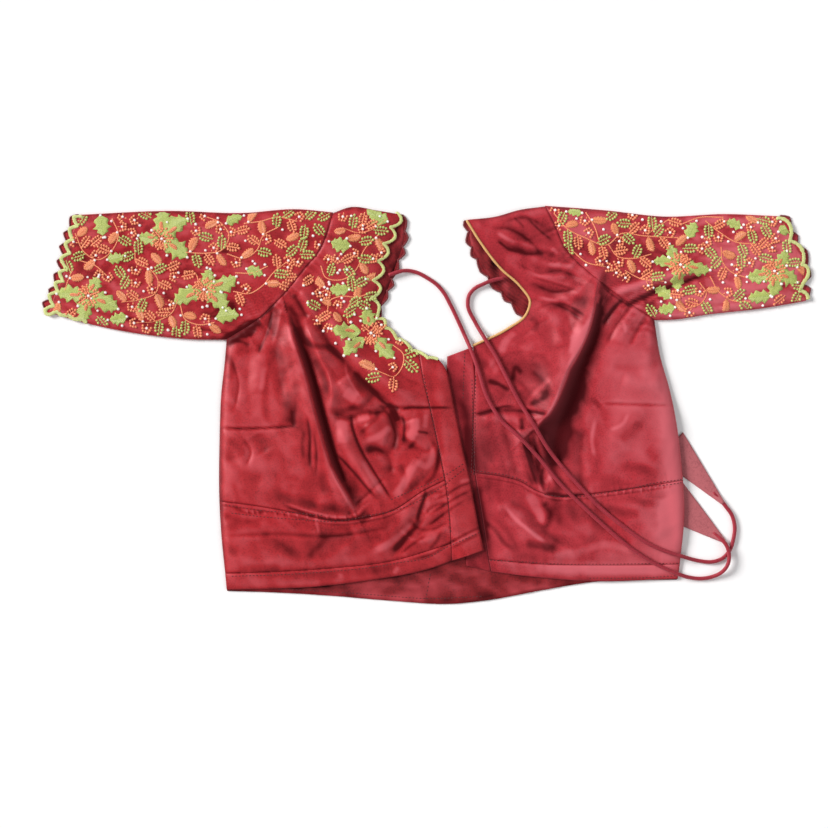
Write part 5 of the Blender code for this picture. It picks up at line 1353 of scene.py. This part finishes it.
def addFill(work, seed, tries=3000, room=5.0):
    # Berries, bursts, small leaves and a few loose stones in the room that is left
    rng = random.Random(seed)
    low, high = work["border"].min(axis=0), work["border"].max(axis=0)
    stems = np.concatenate([resampled(smoothPath(points, 30), 2)[0] for points in work["orangeStems"]
                            if len(points) > 2])
    for trial in range(tries):
        x, y = rng.uniform(low[0], high[0]), rng.uniform(low[1], high[1])
        big = trial < tries * 0.8
        size = room if big else 1.6
        if inwardOf(work["border"], np.array(x), np.array(y))[0] < (2.2 if big else 3):
            continue
        if any(math.hypot(x - tx, y - ty) < tr + size - (1.4 if big else 0) for tx, ty, tr in work["taken"]):
            continue
        if np.hypot(stems[:, 0] - x, stems[:, 1] - y).min() < size * (0.7 if big else 1.2):
            continue
        angle = rng.uniform(0, 2 * math.pi)
        if not big:
            work["gems"].append((x, y, rng.uniform(0.85, 1.1)))
            work["taken"].append((x, y, 9))
            continue
        kind = rng.random()
        if kind < 0.4:
            addBerries(work, *spot(x, y, angle, -5.4), angle, 1, "green")
        elif kind < 0.72:
            addBurst(work, *spot(x, y, angle, -1), angle, 0.92)
        elif kind < 0.84:
            addBerries(work, *spot(x, y, angle, -5.4), angle, 0.95, "orange")
        else:
            addSprig(work, *spot(x, y, angle, -6.4), math.degrees(angle), 14, 8, "oval")


def copiesOn(tree, start, end, points, shape, turn, size):
    # One copy of the shape on each point, made real and given its material
    copies = addNode(tree, "GeometryNodeInstanceOnPoints",
                     {"Points": points, "Instance": shape, "Rotation": turn, "Scale": size})
    real = addNode(tree, "GeometryNodeRealizeInstances", {"Geometry": copies["Instances"]})
    painted = addNode(tree, "GeometryNodeSetMaterial",
                      {"Geometry": real["Geometry"], "Material": start["Material"]})
    feed(tree, end, {"Geometry": painted["Geometry"]})
    return tree


def stitchTree():
    # Beads of thread set end to end along the edges of a wire mesh
    tree, start, end = newTree("stitchRun", "GeometryNodeTree", {
        "Geometry": "Geometry", "Pitch": "Float", "Length": "Float", "Width": "Float", "Height": "Float",
        "Slant": "Float", "Material": "Material"}, {"Geometry": "Geometry"})
    curve = addNode(tree, "GeometryNodeMeshToCurve", {"Mesh": start["Geometry"]})["Curve"]
    points = addNode(tree, "GeometryNodeCurveToPoints", {"Curve": curve, "Length": start["Pitch"]},
                     mode="LENGTH")
    bead = addNode(tree, "GeometryNodeMeshUVSphere", {"Segments": 5, "Rings": 4, "Radius": 0.5})["Mesh"]
    turn = addNode(tree, "FunctionNodeAlignRotationToVector", {"Vector": points["Tangent"]},
                   axis="X")["Rotation"]
    slant = addNode(tree, "ShaderNodeCombineXYZ", {"Z": start["Slant"]})["Vector"]
    lean = addNode(tree, "FunctionNodeEulerToRotation", {"Euler": slant})["Rotation"]
    turn = addNode(tree, "FunctionNodeRotateRotation", {"Rotation": turn, "Rotate By": lean},
                   rotation_space="LOCAL")["Rotation"]
    size = addNode(tree, "ShaderNodeCombineXYZ",
                   {"X": start["Length"], "Y": start["Width"], "Z": start["Height"]})["Vector"]
    return copiesOn(tree, start, end, points["Points"], bead, turn, size)


def dotTree(name, shape, sizes):
    # One knot or one stone on every point, turned at random and scaled by the point's own size
    tree, start, end = newTree(name, "GeometryNodeTree", {
        "Geometry": "Geometry", "Radius": "Float", "Height": "Float", "Seed": "Int", "Material": "Material"},
        {"Geometry": "Geometry"})
    dot = addNode(tree, shape, sizes)["Mesh"]
    own = addNode(tree, "GeometryNodeInputNamedAttribute", {"Name": "size"}, data_type="FLOAT")["Attribute"]
    reach = scaled(tree, start["Radius"], own)
    size = addNode(tree, "ShaderNodeCombineXYZ",
                   {"X": reach, "Y": reach, "Z": scaled(tree, reach, start["Height"])})["Vector"]
    angle = addNode(tree, "FunctionNodeRandomValue", {3: 6.283, "Seed": start["Seed"]}, data_type="FLOAT")[1]
    turn = addNode(tree, "ShaderNodeCombineXYZ", {"Z": angle})["Vector"]
    return copiesOn(tree, start, end, start["Geometry"], dot, turn, size)


stitchRun = stitchTree()
knotScatter = dotTree("knotScatter", "GeometryNodeMeshUVSphere", {"Segments": 7, "Rings": 4, "Radius": 1})
gemScatter = dotTree("gemScatter", "GeometryNodeMeshCone",
                     {"Vertices": 8, "Radius Top": 0.52, "Radius Bottom": 1, "Depth": 1})


def grown(obj, tree, values, smooth=True):
    # Runs a node tree on an object and keeps the result as its plain mesh
    modifier = obj.modifiers.new(tree.name, "NODES")
    modifier.node_group = tree
    for item in tree.interface.items_tree:
        if item.in_out == "INPUT" and item.name in values:
            modifier[item.identifier] = values[item.name]
    graph = bpy.context.evaluated_depsgraph_get()
    bpy.context.view_layer.update()
    mesh = bpy.data.meshes.new_from_object(obj.evaluated_get(graph))
    obj.modifiers.clear()
    obj.data = mesh
    mesh.name = obj.name
    mesh.shade_smooth() if smooth else mesh.shade_flat()
    return obj


def wireObject(name, lines):
    # Edges only, from runs of points in millimetres
    verts, links = [], []
    for line in lines:
        links += [(len(verts) + k, len(verts) + k + 1) for k in range(len(line) - 1)]
        verts += [tuple(p) for p in placed(line)]
    mesh = bpy.data.meshes.new(name)
    mesh.from_pydata(verts, links, [])
    return added(name, mesh)


def dotsOn(work, name, dots, rise):
    # Loose points on the cloth, clear of its edge, each with its own size
    dots = np.array(dots)
    dots = dots[inwardOf(work["border"], dots[:, 0], dots[:, 1])[0] > thread["dotClear"]]
    z = liftOf[work["side"]](dots[:, 0], dots[:, 1]) + rise
    mesh = bpy.data.meshes.new(name)
    mesh.from_pydata([tuple(p) for p in placed(raised(dots[:, :2], z))], [], [])
    mesh.attributes.new("size", "FLOAT", "POINT").data.foreach_set("value", dots[:, 2].astype(np.float32))
    return added(name, mesh)


def sewn(work, name):
    # Turns the plan of one embroidered area into pieces on the cloth
    up = liftOf[work["side"]]
    made = []
    for colour, material, leaf, thin in (("green", greenThread, greenLeaf, 0.55),
                                         ("orange", orangeThread, orangeLeaf, 1)):
        title = name + colour.title()
        leaves = work[colour]
        made.append(newMesh(title + "Leaves", np.concatenate(leaves["verts"]), leaves["faces"], leaf,
                            np.concatenate(leaves["uvs"])))
        knots = dotsOn(work, title + "Knots", work[colour + "Knots"], thread["knotLift"])
        made.append(grown(knots, knotScatter, {"Radius": thread["knot"] * 0.001, "Height": 0.72, "Seed": 4,
                                               "Material": material}))
        lines = []
        for points in work[colour + "Stems"]:
            run = resampled(smoothPath(points, 8 if len(points) <= 3 else 60), 1)[0]
            run = run[inwardOf(work["border"], *run.T)[0] > thread["stemClear"]]
            if len(run) > 1:
                lines.append(raised(run, up(*run.T) + thread["stemLift"]))
        made.append(grown(wireObject(title + "Stems", lines), stitchRun, {
            "Pitch": thread["stemStitch"] * 0.00082, "Length": thread["stemStitch"] * 0.00125,
            "Width": thread["stemWidth"] * 0.001 * thin, "Height": 0.00062 * thin, "Slant": 0.22,
            "Material": material}))
    gems = dotsOn(work, name + "Stones", work["gems"], thread["gemLift"])
    made.append(grown(gems, gemScatter, {"Radius": thread["gem"] * 0.001, "Height": 0.85, "Seed": 8,
                                         "Material": stone}, smooth=False))
    return [ridden(obj) for obj in made]


# Rhinestones; their faint emission is painted light that keeps them bright
stone, stoneTree, stoneShader = newMaterial("stone")
feed(stoneTree, stoneShader, {
    "Base Color": (0.94, 0.92, 0.88, 1),
    "Roughness": 0.18,
    "Coat Weight": 1,
    "Emission Color": (1, 1, 0.96, 1),
    "Emission Strength": 0.12,
})

sleeveWork = {
    "right": {
        "flowers": [(-258, 161, [(92, 23, 18), (38, 26, 17), (-36, 25, 18), (172, 18, 12)], 3),
                    (-329, 106, [(176, 26, 15), (62, 16, 13), (-24, 26, 17), (-100, 20, 15)], 5),
                    (-217, 112, [(204, 27, 16), (22, 28, 16), (-44, 24, 17), (74, 16, 12)], 8)],
        "leaves": [(-318, 184, -82, 20, 17), (-311, 141, 12, 16, 12), (-206, 84, 8, 23, 16),
                   (-196, 176, 24, 17, 12), (-292, 86, 190, 17, 13), (-176, 132, -20, 17, 12)],
        "vines": [[(-306, 180), (-300, 165), (-306, 150), (-320, 141), (-333, 148), (-342, 166)],
                  [(-337, 140), (-322, 135), (-312, 126)],
                  [(-284, 150), (-283, 138), (-270, 132), (-262, 122), (-263, 110), (-280, 102), (-296, 100)],
                  [(-234, 148), (-216, 147), (-200, 150), (-193, 164), (-202, 177), (-214, 182)],
                  [(-236, 130), (-226, 128), (-222, 118)], [(-243, 102), (-248, 90), (-262, 82), (-282, 80)],
                  [(-240, 96), (-236, 84), (-222, 78), (-208, 80)],
                  [(-194, 146), (-178, 142), (-166, 150), (-160, 164), (-146, 172)],
                  [(-188, 110), (-174, 108), (-160, 116), (-150, 128), (-138, 138)],
                  [(-178, 176), (-162, 178), (-146, 182), (-128, 178)], [(-186, 128), (-170, 128), (-156, 134)],
                  [(-352, 112), (-348, 124), (-344, 132)]],
        "bare": [(-170, 90, 11), (-183, 77, 8), (-157, 104, 7), (-194, 69, 5)],
        "seed": 31,
    },
    "left": {
        "flowers": [(243, 136, [(174, 22, 11), (118, 18, 11), (-96, 20, 13), (-10, 24, 13)], 4),
                    (334, 130, [(192, 22, 14), (-26, 20, 15), (58, 18, 13), (-96, 20, 14)], 6)],
        "leaves": [(250, 162, 62, 17, 14), (234, 104, 150, 18, 13), (238, 95, 190, 17, 12),
                   (330, 106, 186, 22, 14), (338, 168, 26, 18, 13), (148, 186, 175, 14, 10),
                   (302, 172, 160, 16, 11)],
        "vines": [[(122, 184), (134, 170), (150, 162), (172, 155), (186, 166), (206, 164), (240, 162)],
                  [(138, 150), (152, 138), (170, 134)], [(174, 154), (182, 144), (198, 142), (214, 146)],
                  [(190, 130), (206, 122), (226, 120)], [(212, 178), (210, 166), (220, 172), (232, 180)],
                  [(282, 152), (284, 138), (294, 128), (306, 124)],
                  [(262, 118), (268, 108), (262, 98), (250, 94)],
                  [(272, 124), (280, 110), (292, 102), (310, 100)],
                  [(268, 178), (280, 168), (296, 158), (316, 156)], [(152, 186), (160, 172), (164, 158)],
                  [(246, 176), (262, 182), (284, 182)]],
        "bare": [(192, 106, 13), (174, 116, 9), (206, 100, 9), (160, 127, 6)],
        "seed": 47,
    },
}
sewnPieces = {}
for side, plan in sleeveWork.items():
    e = edges[side]
    work = newWork(side, chain((e["sleeveTop"], 24), (e["cuff"], 10), (e["sleeveUnder"][::-1], 24),
                               (e["armhole"][::-1], 20)))
    work["taken"] += plan["bare"]
    for row in plan["flowers"]:
        addFlower(work, *row)
    for row in plan["leaves"]:
        addSprig(work, *row, "holly")
    for k, points in enumerate(plan["vines"]):
        addVine(work, points, plan["seed"] + k)
    addFill(work, plan["seed"])
    sewnPieces[side] = sewn(work, "sleeve" + side.title())
    print("embroidery of the", side, "sleeve:", len(work["greenKnots"]) + len(work["orangeKnots"]), "knots,",
          len(work["gems"]), "stones")

neckPlan = {
    "flower": (-56, 70, [(100, 16, 14, 7), (174, 26, 15, 10), (220, 24, 14, 8), (-47, 25, 15, 6)], 11),
    "leaves": [(-40, 178, 148, 20, 17), (-76, 154, 168, 19, 16), (-77, 112, 178, 19, 14),
               (-60, 190, -30, 13, 11)],
    "vines": [[(-42, 180), (-53, 171), (-68, 167), (-82, 171)],
              [(-104, 134), (-100, 124), (-87, 121), (-76, 125), (-68, 135), (-64, 148), (-48, 166)],
              [(-98, 92), (-96, 101), (-87, 105), (-68, 105), (-56, 109)], [(-78, 80), (-79, 93), (-74, 102)],
              [(-34, 58), (-25, 50), (-27, 35), (-34, 28), (-44, 31), (-55, 36)]],
    "berries": [(-74, 172, 80, 1, "green"), (-66, 158, 10, 1, "green"), (-96, 126, 70, 0.9, "green"),
                (-70, 117, 25, 1, "green"), (-76, 97, 35, 0.95, "green"), (-106, 94, 150, 1, "green"),
                (-23, 49, 22, 1.2, "green"), (-22, 43, -44, 1.2, "green"), (-47, 28, 190, 1.1, "green"),
                (-60, 172, 30, 0.9, "orange"), (-112, 124, 215, 0.9, "orange"), (-34, 26, -95, 1, "orange")],
    "rosettes": [(-54, 142), (-46, 148), (-97, 141), (-99, 107), (-108, 82), (-88, 97), (-46, 78), (-28, 63),
                 (-35, 37), (-72, 147)],
    "orangeLeaves": [(-80, 170, 190, 12, 7), (-66, 138, -60, 13, 8), (-92, 90, -50, 12, 7),
                     (-51, 35, 160, 18, 9), (-104, 102, -30, 11, 7)],
    "stones": [(-75, 183), (-64, 174), (-112, 108), (-117, 99), (-102, 72), (-90, 60), (-96, 117), (-83, 118),
               (-88, 128), (-79, 131), (-121, 116), (-70, 48), (-72, 88)],
    "area": [(-88, 184), (-88, 160), (-99, 140), (-112, 118), (-116, 98), (-108, 78), (-90, 64), (-78, 50),
             (-50, 40), (-30, 50), (-44, 80), (-54, 100), (-54, 118), (-46, 142), (-38, 166), (-34, 182),
             (-88, 184)],
}
neckWork = newWork("right", chain(
    (rightEdges["shoulder"], 6), (rightEdges["neckline"], 20), (rightEdges["placketSeam"][:3], 10),
    ([(1.5, -4), (-70, 20), (-120, 60), (-143.5, 104)], 12), (rightEdges["armhole"][:5][::-1], 10)))
addFlower(neckWork, *neckPlan["flower"])
for kind, key in (("holly", "leaves"), ("oval", "orangeLeaves")):
    for row in neckPlan[key]:
        addSprig(neckWork, *row, kind)
neckWork["orangeStems"] += neckPlan["vines"]
for x, y, angleDeg, size, colour in neckPlan["berries"]:
    addBerries(neckWork, x, y, math.radians(angleDeg), size, colour)
for x, y in neckPlan["rosettes"]:
    addBurst(neckWork, x, y, x * 0.7, 0.85)
neckWork["gems"] += [(x, y, 1.05) for x, y in neckPlan["stones"]]
# The fill keeps to the strip along the neck
wholeBorder, neckWork["border"] = neckWork["border"], np.array(neckPlan["area"], float)
addFill(neckWork, 77, 1800, 4.2)
neckWork["border"] = wholeBorder
sewnPieces["neck"] = sewn(neckWork, "neck")
print("embroidery of the neck done")

# Machine stitches along the seams, laid in the same way as the embroidered stems
stitch = {"Pitch": 0.0034, "Length": 0.0024, "Width": 0.00085, "Height": 0.00036, "Slant": 0.06,
          "Material": seamThread}
stitchLines = {
    "right": [[(-196, -96), (-165, -101), (-130, -103.5), (-104, -106)],
              [(-190, -104), (-160, -107.5), (-124, -110), (-84, -111.5), (-58, -106), (-30, -100.5), (-8, -91),
               (10, -80), (33, -62)],
              [(-36, -90.5), (-20, -83.5), (-4, -77), (10, -70.5), (32, -57)],
              [(-5, 29), (1, -2.4), (7.4, -31.5), (13.6, -61.6), (18.4, -85.8), (19.4, -107), (21, -121)],
              [(-190, -165), (-143, -163.5), (-91, -160), (-60, -157), (-30, -152), (0, -146.5), (15, -138),
               (30, -131), (48, -123)]],
    "left": [[(34.5, 50), (33.6, 28), (33, 8)], [(45, 28), (44.5, 0), (44.5, -40), (43, -66)],
             [(41.5, 24), (42, 0), (42, -40), (41, -64)], [(44, -63), (60, -65), (80, -68.5), (94, -74)],
             [(112, -86), (130, -88.5), (160, -86), (190, -81), (215, -75), (243, -71.5)],
             [(204, -79), (224, -77), (243, -74.5)],
             [(60, -150), (90, -151), (120, -153), (160, -153.5), (200, -153), (240, -152.5)],
             [(156, -167), (200, -167), (238, -165)]],
    "back": [[(1, -164), (-1, -176), (-3, -187)],
             [(-190, -176), (-120, -179), (-60, -183), (0, -187), (50, -185)]],
}
stitched = {}
for side, lines in stitchLines.items():
    heightOf = backHeight if side == "back" else liftOf[side]
    runs = [resampled(smoothPath(points, 80), 1)[0] for points in lines]
    wire = wireObject("seamStitches" + side.title(),
                      [raised(run, heightOf(*run.T) + thread["lift"]) for run in runs])
    stitched[side] = ridden(grown(wire, stitchRun, stitch))
print("seam stitches done")

tasselSizes = {"down": 44, "over": 18, "tipWidth": 4, "stand": 2.3, "puff": 0.42, "gathered": 2.7,
               "crease": 0.75, "least": 1.15}
tassels = {
    "tasselRight": {"tip": (285, -94.4), "first": (246.4, -26), "second": (221, -50.5), "split": 0},
    "tasselLeft": {"tip": (286.2, -131.6), "first": (241, -67.6), "second": (209.5, -102), "split": 0.55},
}


def tasselSheet(name, shape):
    # Cloth folded to a point at the cord and open at its wide end, with a crease from the tip
    t = tasselSizes
    tip, first, second = (np.array(shape[key]) for key in ("tip", "first", "second"))
    across = unit(first - second) * t["tipWidth"] / 2
    v = np.linspace(0, 1, t["down"])[:, None]
    u = np.linspace(0, 1, t["over"])[None, :]
    near, far = (a + u[..., None] * (b - a) for a, b in ((tip + across, tip - across), (first, second)))
    plane = near + v[..., None] * (far - near)
    edge = 1 - np.abs(2 * u - 1) ** 3
    height = t["stand"] * (0.5 + 0.32 * edge) + t["puff"] * creaseNoise(u * 3 + v * 0.7, v * 5 + 3, 51) * edge
    # The tip is gathered round the end of the cord
    height += t["gathered"] * (1 - eased(v / 0.24)) * (1 - np.abs(2 * u - 1) ** 2.5)
    if shape["split"]:
        height += t["crease"] * eased((u - shape["split"]) / 0.05) * (0.3 + 0.7 * v)
    low = np.full(height.shape, underside)
    return wall(name, raised(plane, np.maximum(height, t["least"])), raised(plane, low), tasselSilk)


for name, shape in tassels.items():
    shape["obj"] = ridden(tasselSheet(name, shape), "tassel_" + name[6:].lower())
print("tassels done")

cords = {
    "diameter": 3.8,
    "step": 2.2,
    "clearance": 0.12,
    "crossing": (287.6, -146),
    "crossingRadius": 7,
    "crossingFade": 12,
    "crossingGap": 0.3,
    "left": [
        (72.5, 123.4), (62.5, 121.4), (52.2, 117.4), (45.2, 114), (39, 107), (37.6, 98),
        (45.2, 80), (54, 64.6), (63, 50), (74.2, 27.8), (86, 5), (99.7, -17),
        (113.5, -40), (130.4, -61.4), (150.8, -84), (168, -101), (187, -116.4),
        (209.4, -132), (227, -140), (243.7, -145.4), (262.6, -150.6), (274.7, -151.4),
        (284.7, -147.8), (291.5, -140), (294.8, -130), (296.2, -117.7), (293.7, -106.7),
        (287.3, -97.4), (281, -89.6), (275.5, -84),
    ],
    "right": [
        (-39, 126), (-32, 128.6), (-23.6, 130.6), (-12.7, 129.2), (-1.6, 123.6), (8.4, 116.4),
        (14.6, 109), (20.6, 98), (31, 76), (40, 55), (47.4, 34.5), (55.2, 10),
        (69.4, -14), (88.8, -32.2), (104.2, -48.6), (127, -76), (146.8, -95.6), (170.4, -117.4),
        (196, -138.6), (218.5, -152.8), (240.3, -162.6), (252, -166.4), (264.4, -167.6),
        (275, -165.6), (283.6, -160.8), (289, -153), (290, -144.5), (287.6, -135.4),
        (281.8, -128.4), (275.4, -123),
    ],
}


def topUnder(trees, x, y):
    start = Vector((x - tableOrigin["x"], y - tableOrigin["y"], 200)) * 0.001
    hits = [tree.ray_cast(start, Vector((0, 0, -1)))[0] for tree in trees]
    return max([0.0] + [hit.z * 1000 for hit in hits if hit is not None])


def cordLine(route, trees, overCrossing):
    # Centre line of a cord that lies on whatever is below it and bridges small hollows
    radius = cords["diameter"] / 2
    plane = smoothPath(route, round(lengthOf(smoothPath(route, 400)) / cords["step"]))
    around = [(0, 0)] + [(radius * 0.8 * math.cos(a), radius * 0.8 * math.sin(a))
                         for a in np.arange(0, 2 * math.pi, math.pi / 4)]
    found = np.array([max(topUnder(trees, x + dx, y + dy) for dx, dy in around) for x, y in plane])
    if overCrossing:
        near = np.hypot(*(plane - cords["crossing"]).T)
        fade = eased((near - cords["crossingRadius"]) / cords["crossingFade"])
        bridge = (cords["diameter"] + cords["crossingGap"]) * (1 - fade)
        found = np.maximum(found, bridge)
    smooth = found
    for settle in (np.max, np.mean):
        padded = np.pad(smooth, 3, mode="edge")
        smooth = settle([padded[k:k + len(found)] for k in range(7)], axis=0)
    return raised(plane, np.maximum(smooth, found) + radius + cords["clearance"])


bpy.context.view_layer.update()
graph = bpy.context.evaluated_depsgraph_get()
below = [back, backBand, piping] + [panels[part + "Left"][0]
                                    for part in ("front", "waistband", "hem", "placket")]
trees = [BVHTree.FromObject(obj, graph) for obj in below]
for side, tassel in (("left", "tasselRight"), ("right", "tasselLeft")):
    line = cordLine(cords[side], trees, side == "right")
    radii = np.full(len(line), cords["diameter"] / 2)
    radii[-6:] *= np.linspace(0.98, 0.62, 6)
    obj = ridden(roundTube("cord" + side.title(), line, radii, 14, cordSilk), "cord_" + side)
    path = placed(line)
    length = float(stationsOf(path)[-1])
    print("cord", side, round(length * 1000), "mm")
print("cords done")

view = {"middle": (-0.0132, -0.0089), "height": 1.6, "sensor": 36, "frameWidth": 0.8032}
camera = added("camera", bpy.data.cameras.new("camera"))
camera.location = (*view["middle"], view["height"])
camera.rotation_euler = (0, 0, 0)
camera.data.sensor_width = view["sensor"]
camera.data.lens = view["sensor"] * view["height"] / view["frameWidth"]
camera.data.clip_end = 10
bpy.context.scene.camera = camera

floor = {"reach": 6, "drop": 0.0003}
corners = [(x * floor["reach"], y * floor["reach"], -floor["drop"])
           for x, y in ((-1, -1), (1, -1), (1, 1), (-1, 1))]
floorMesh = bpy.data.meshes.new("floor")
floorMesh.from_pydata(corners, [], [(0, 1, 2, 3)])
floorPaint, floorTree, floorShader = newMaterial("floorPaint")
feed(floorTree, floorShader, {"Base Color": (0.96, 0.965, 0.97, 1), "Roughness": 0.9})
floorMesh.materials.append(floorPaint)
added("floor", floorMesh)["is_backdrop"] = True

lamps = {
    "key": {"at": (-3.4, 1.5, 2.3), "power": 3.7, "soft": 0.42, "tint": (1, 0.985, 0.97)},
    "fill": {"at": (2.6, -1.2, 4), "power": 0.95, "soft": 1.2, "tint": (1, 0.97, 0.98)},
}
for name, row in lamps.items():
    lamp = added(name, bpy.data.lights.new(name, "SUN"))
    lamp.data.angle = row["soft"]
    lamp.data.energy = row["power"]
    lamp.data.color = row["tint"]
    lamp.location = row["at"]
    lamp.rotation_euler = (-Vector(row["at"])).to_track_quat("-Z", "Y").to_euler()
world = bpy.data.worlds.new("studio")
world.use_nodes = True
feed(world.node_tree, world.node_tree.nodes["Background"], {"Color": (1, 1, 1, 1), "Strength": 0.22})
bpy.context.scene.world = world
bpy.context.scene.view_settings.view_transform = "Standard"
print("stage done")

sheets = {
    "frontRight": (0.226, 0.308, 0.052),
    "frontLeft": (0.226, 0.3, 0.05),
    "waistbandRight": (0.226, 0.072, 0.0125),
    "waistbandLeft": (0.202, 0.086, 0.015),
    "hemRight": (0.222, 0.02, 0.0036),
    "hemLeft": (0.186, 0.016, 0.0026),
    "placketRight": (0.034, 0.21, 0.0045),
    "placketLeft": (0.03, 0.222, 0.0048),
    "back": (0.45, 0.385, 0.113),
    "sleeveRight": (0.29, 0.27, 0.056),
    "sleeveLeft": (0.24, 0.25, 0.05),
}
for name, (width, length, area) in sheets.items():
    extra = []
    if name.startswith("sleeve"):
        obj = sleeves[name[6:].lower()][0]
        extra = [cuffs[name[6:].lower()]] + sewnPieces[name[6:].lower()]
    elif name == "back":
        obj, extra = back, [backBand, stitched["back"]]
    else:
        obj = panels[name][0]
        extra = {"frontRight": [neckBand, stitched["right"]] + sewnPieces["neck"],
                 "frontLeft": [piping, stitched["left"]]}.get(name, [])

low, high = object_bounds()
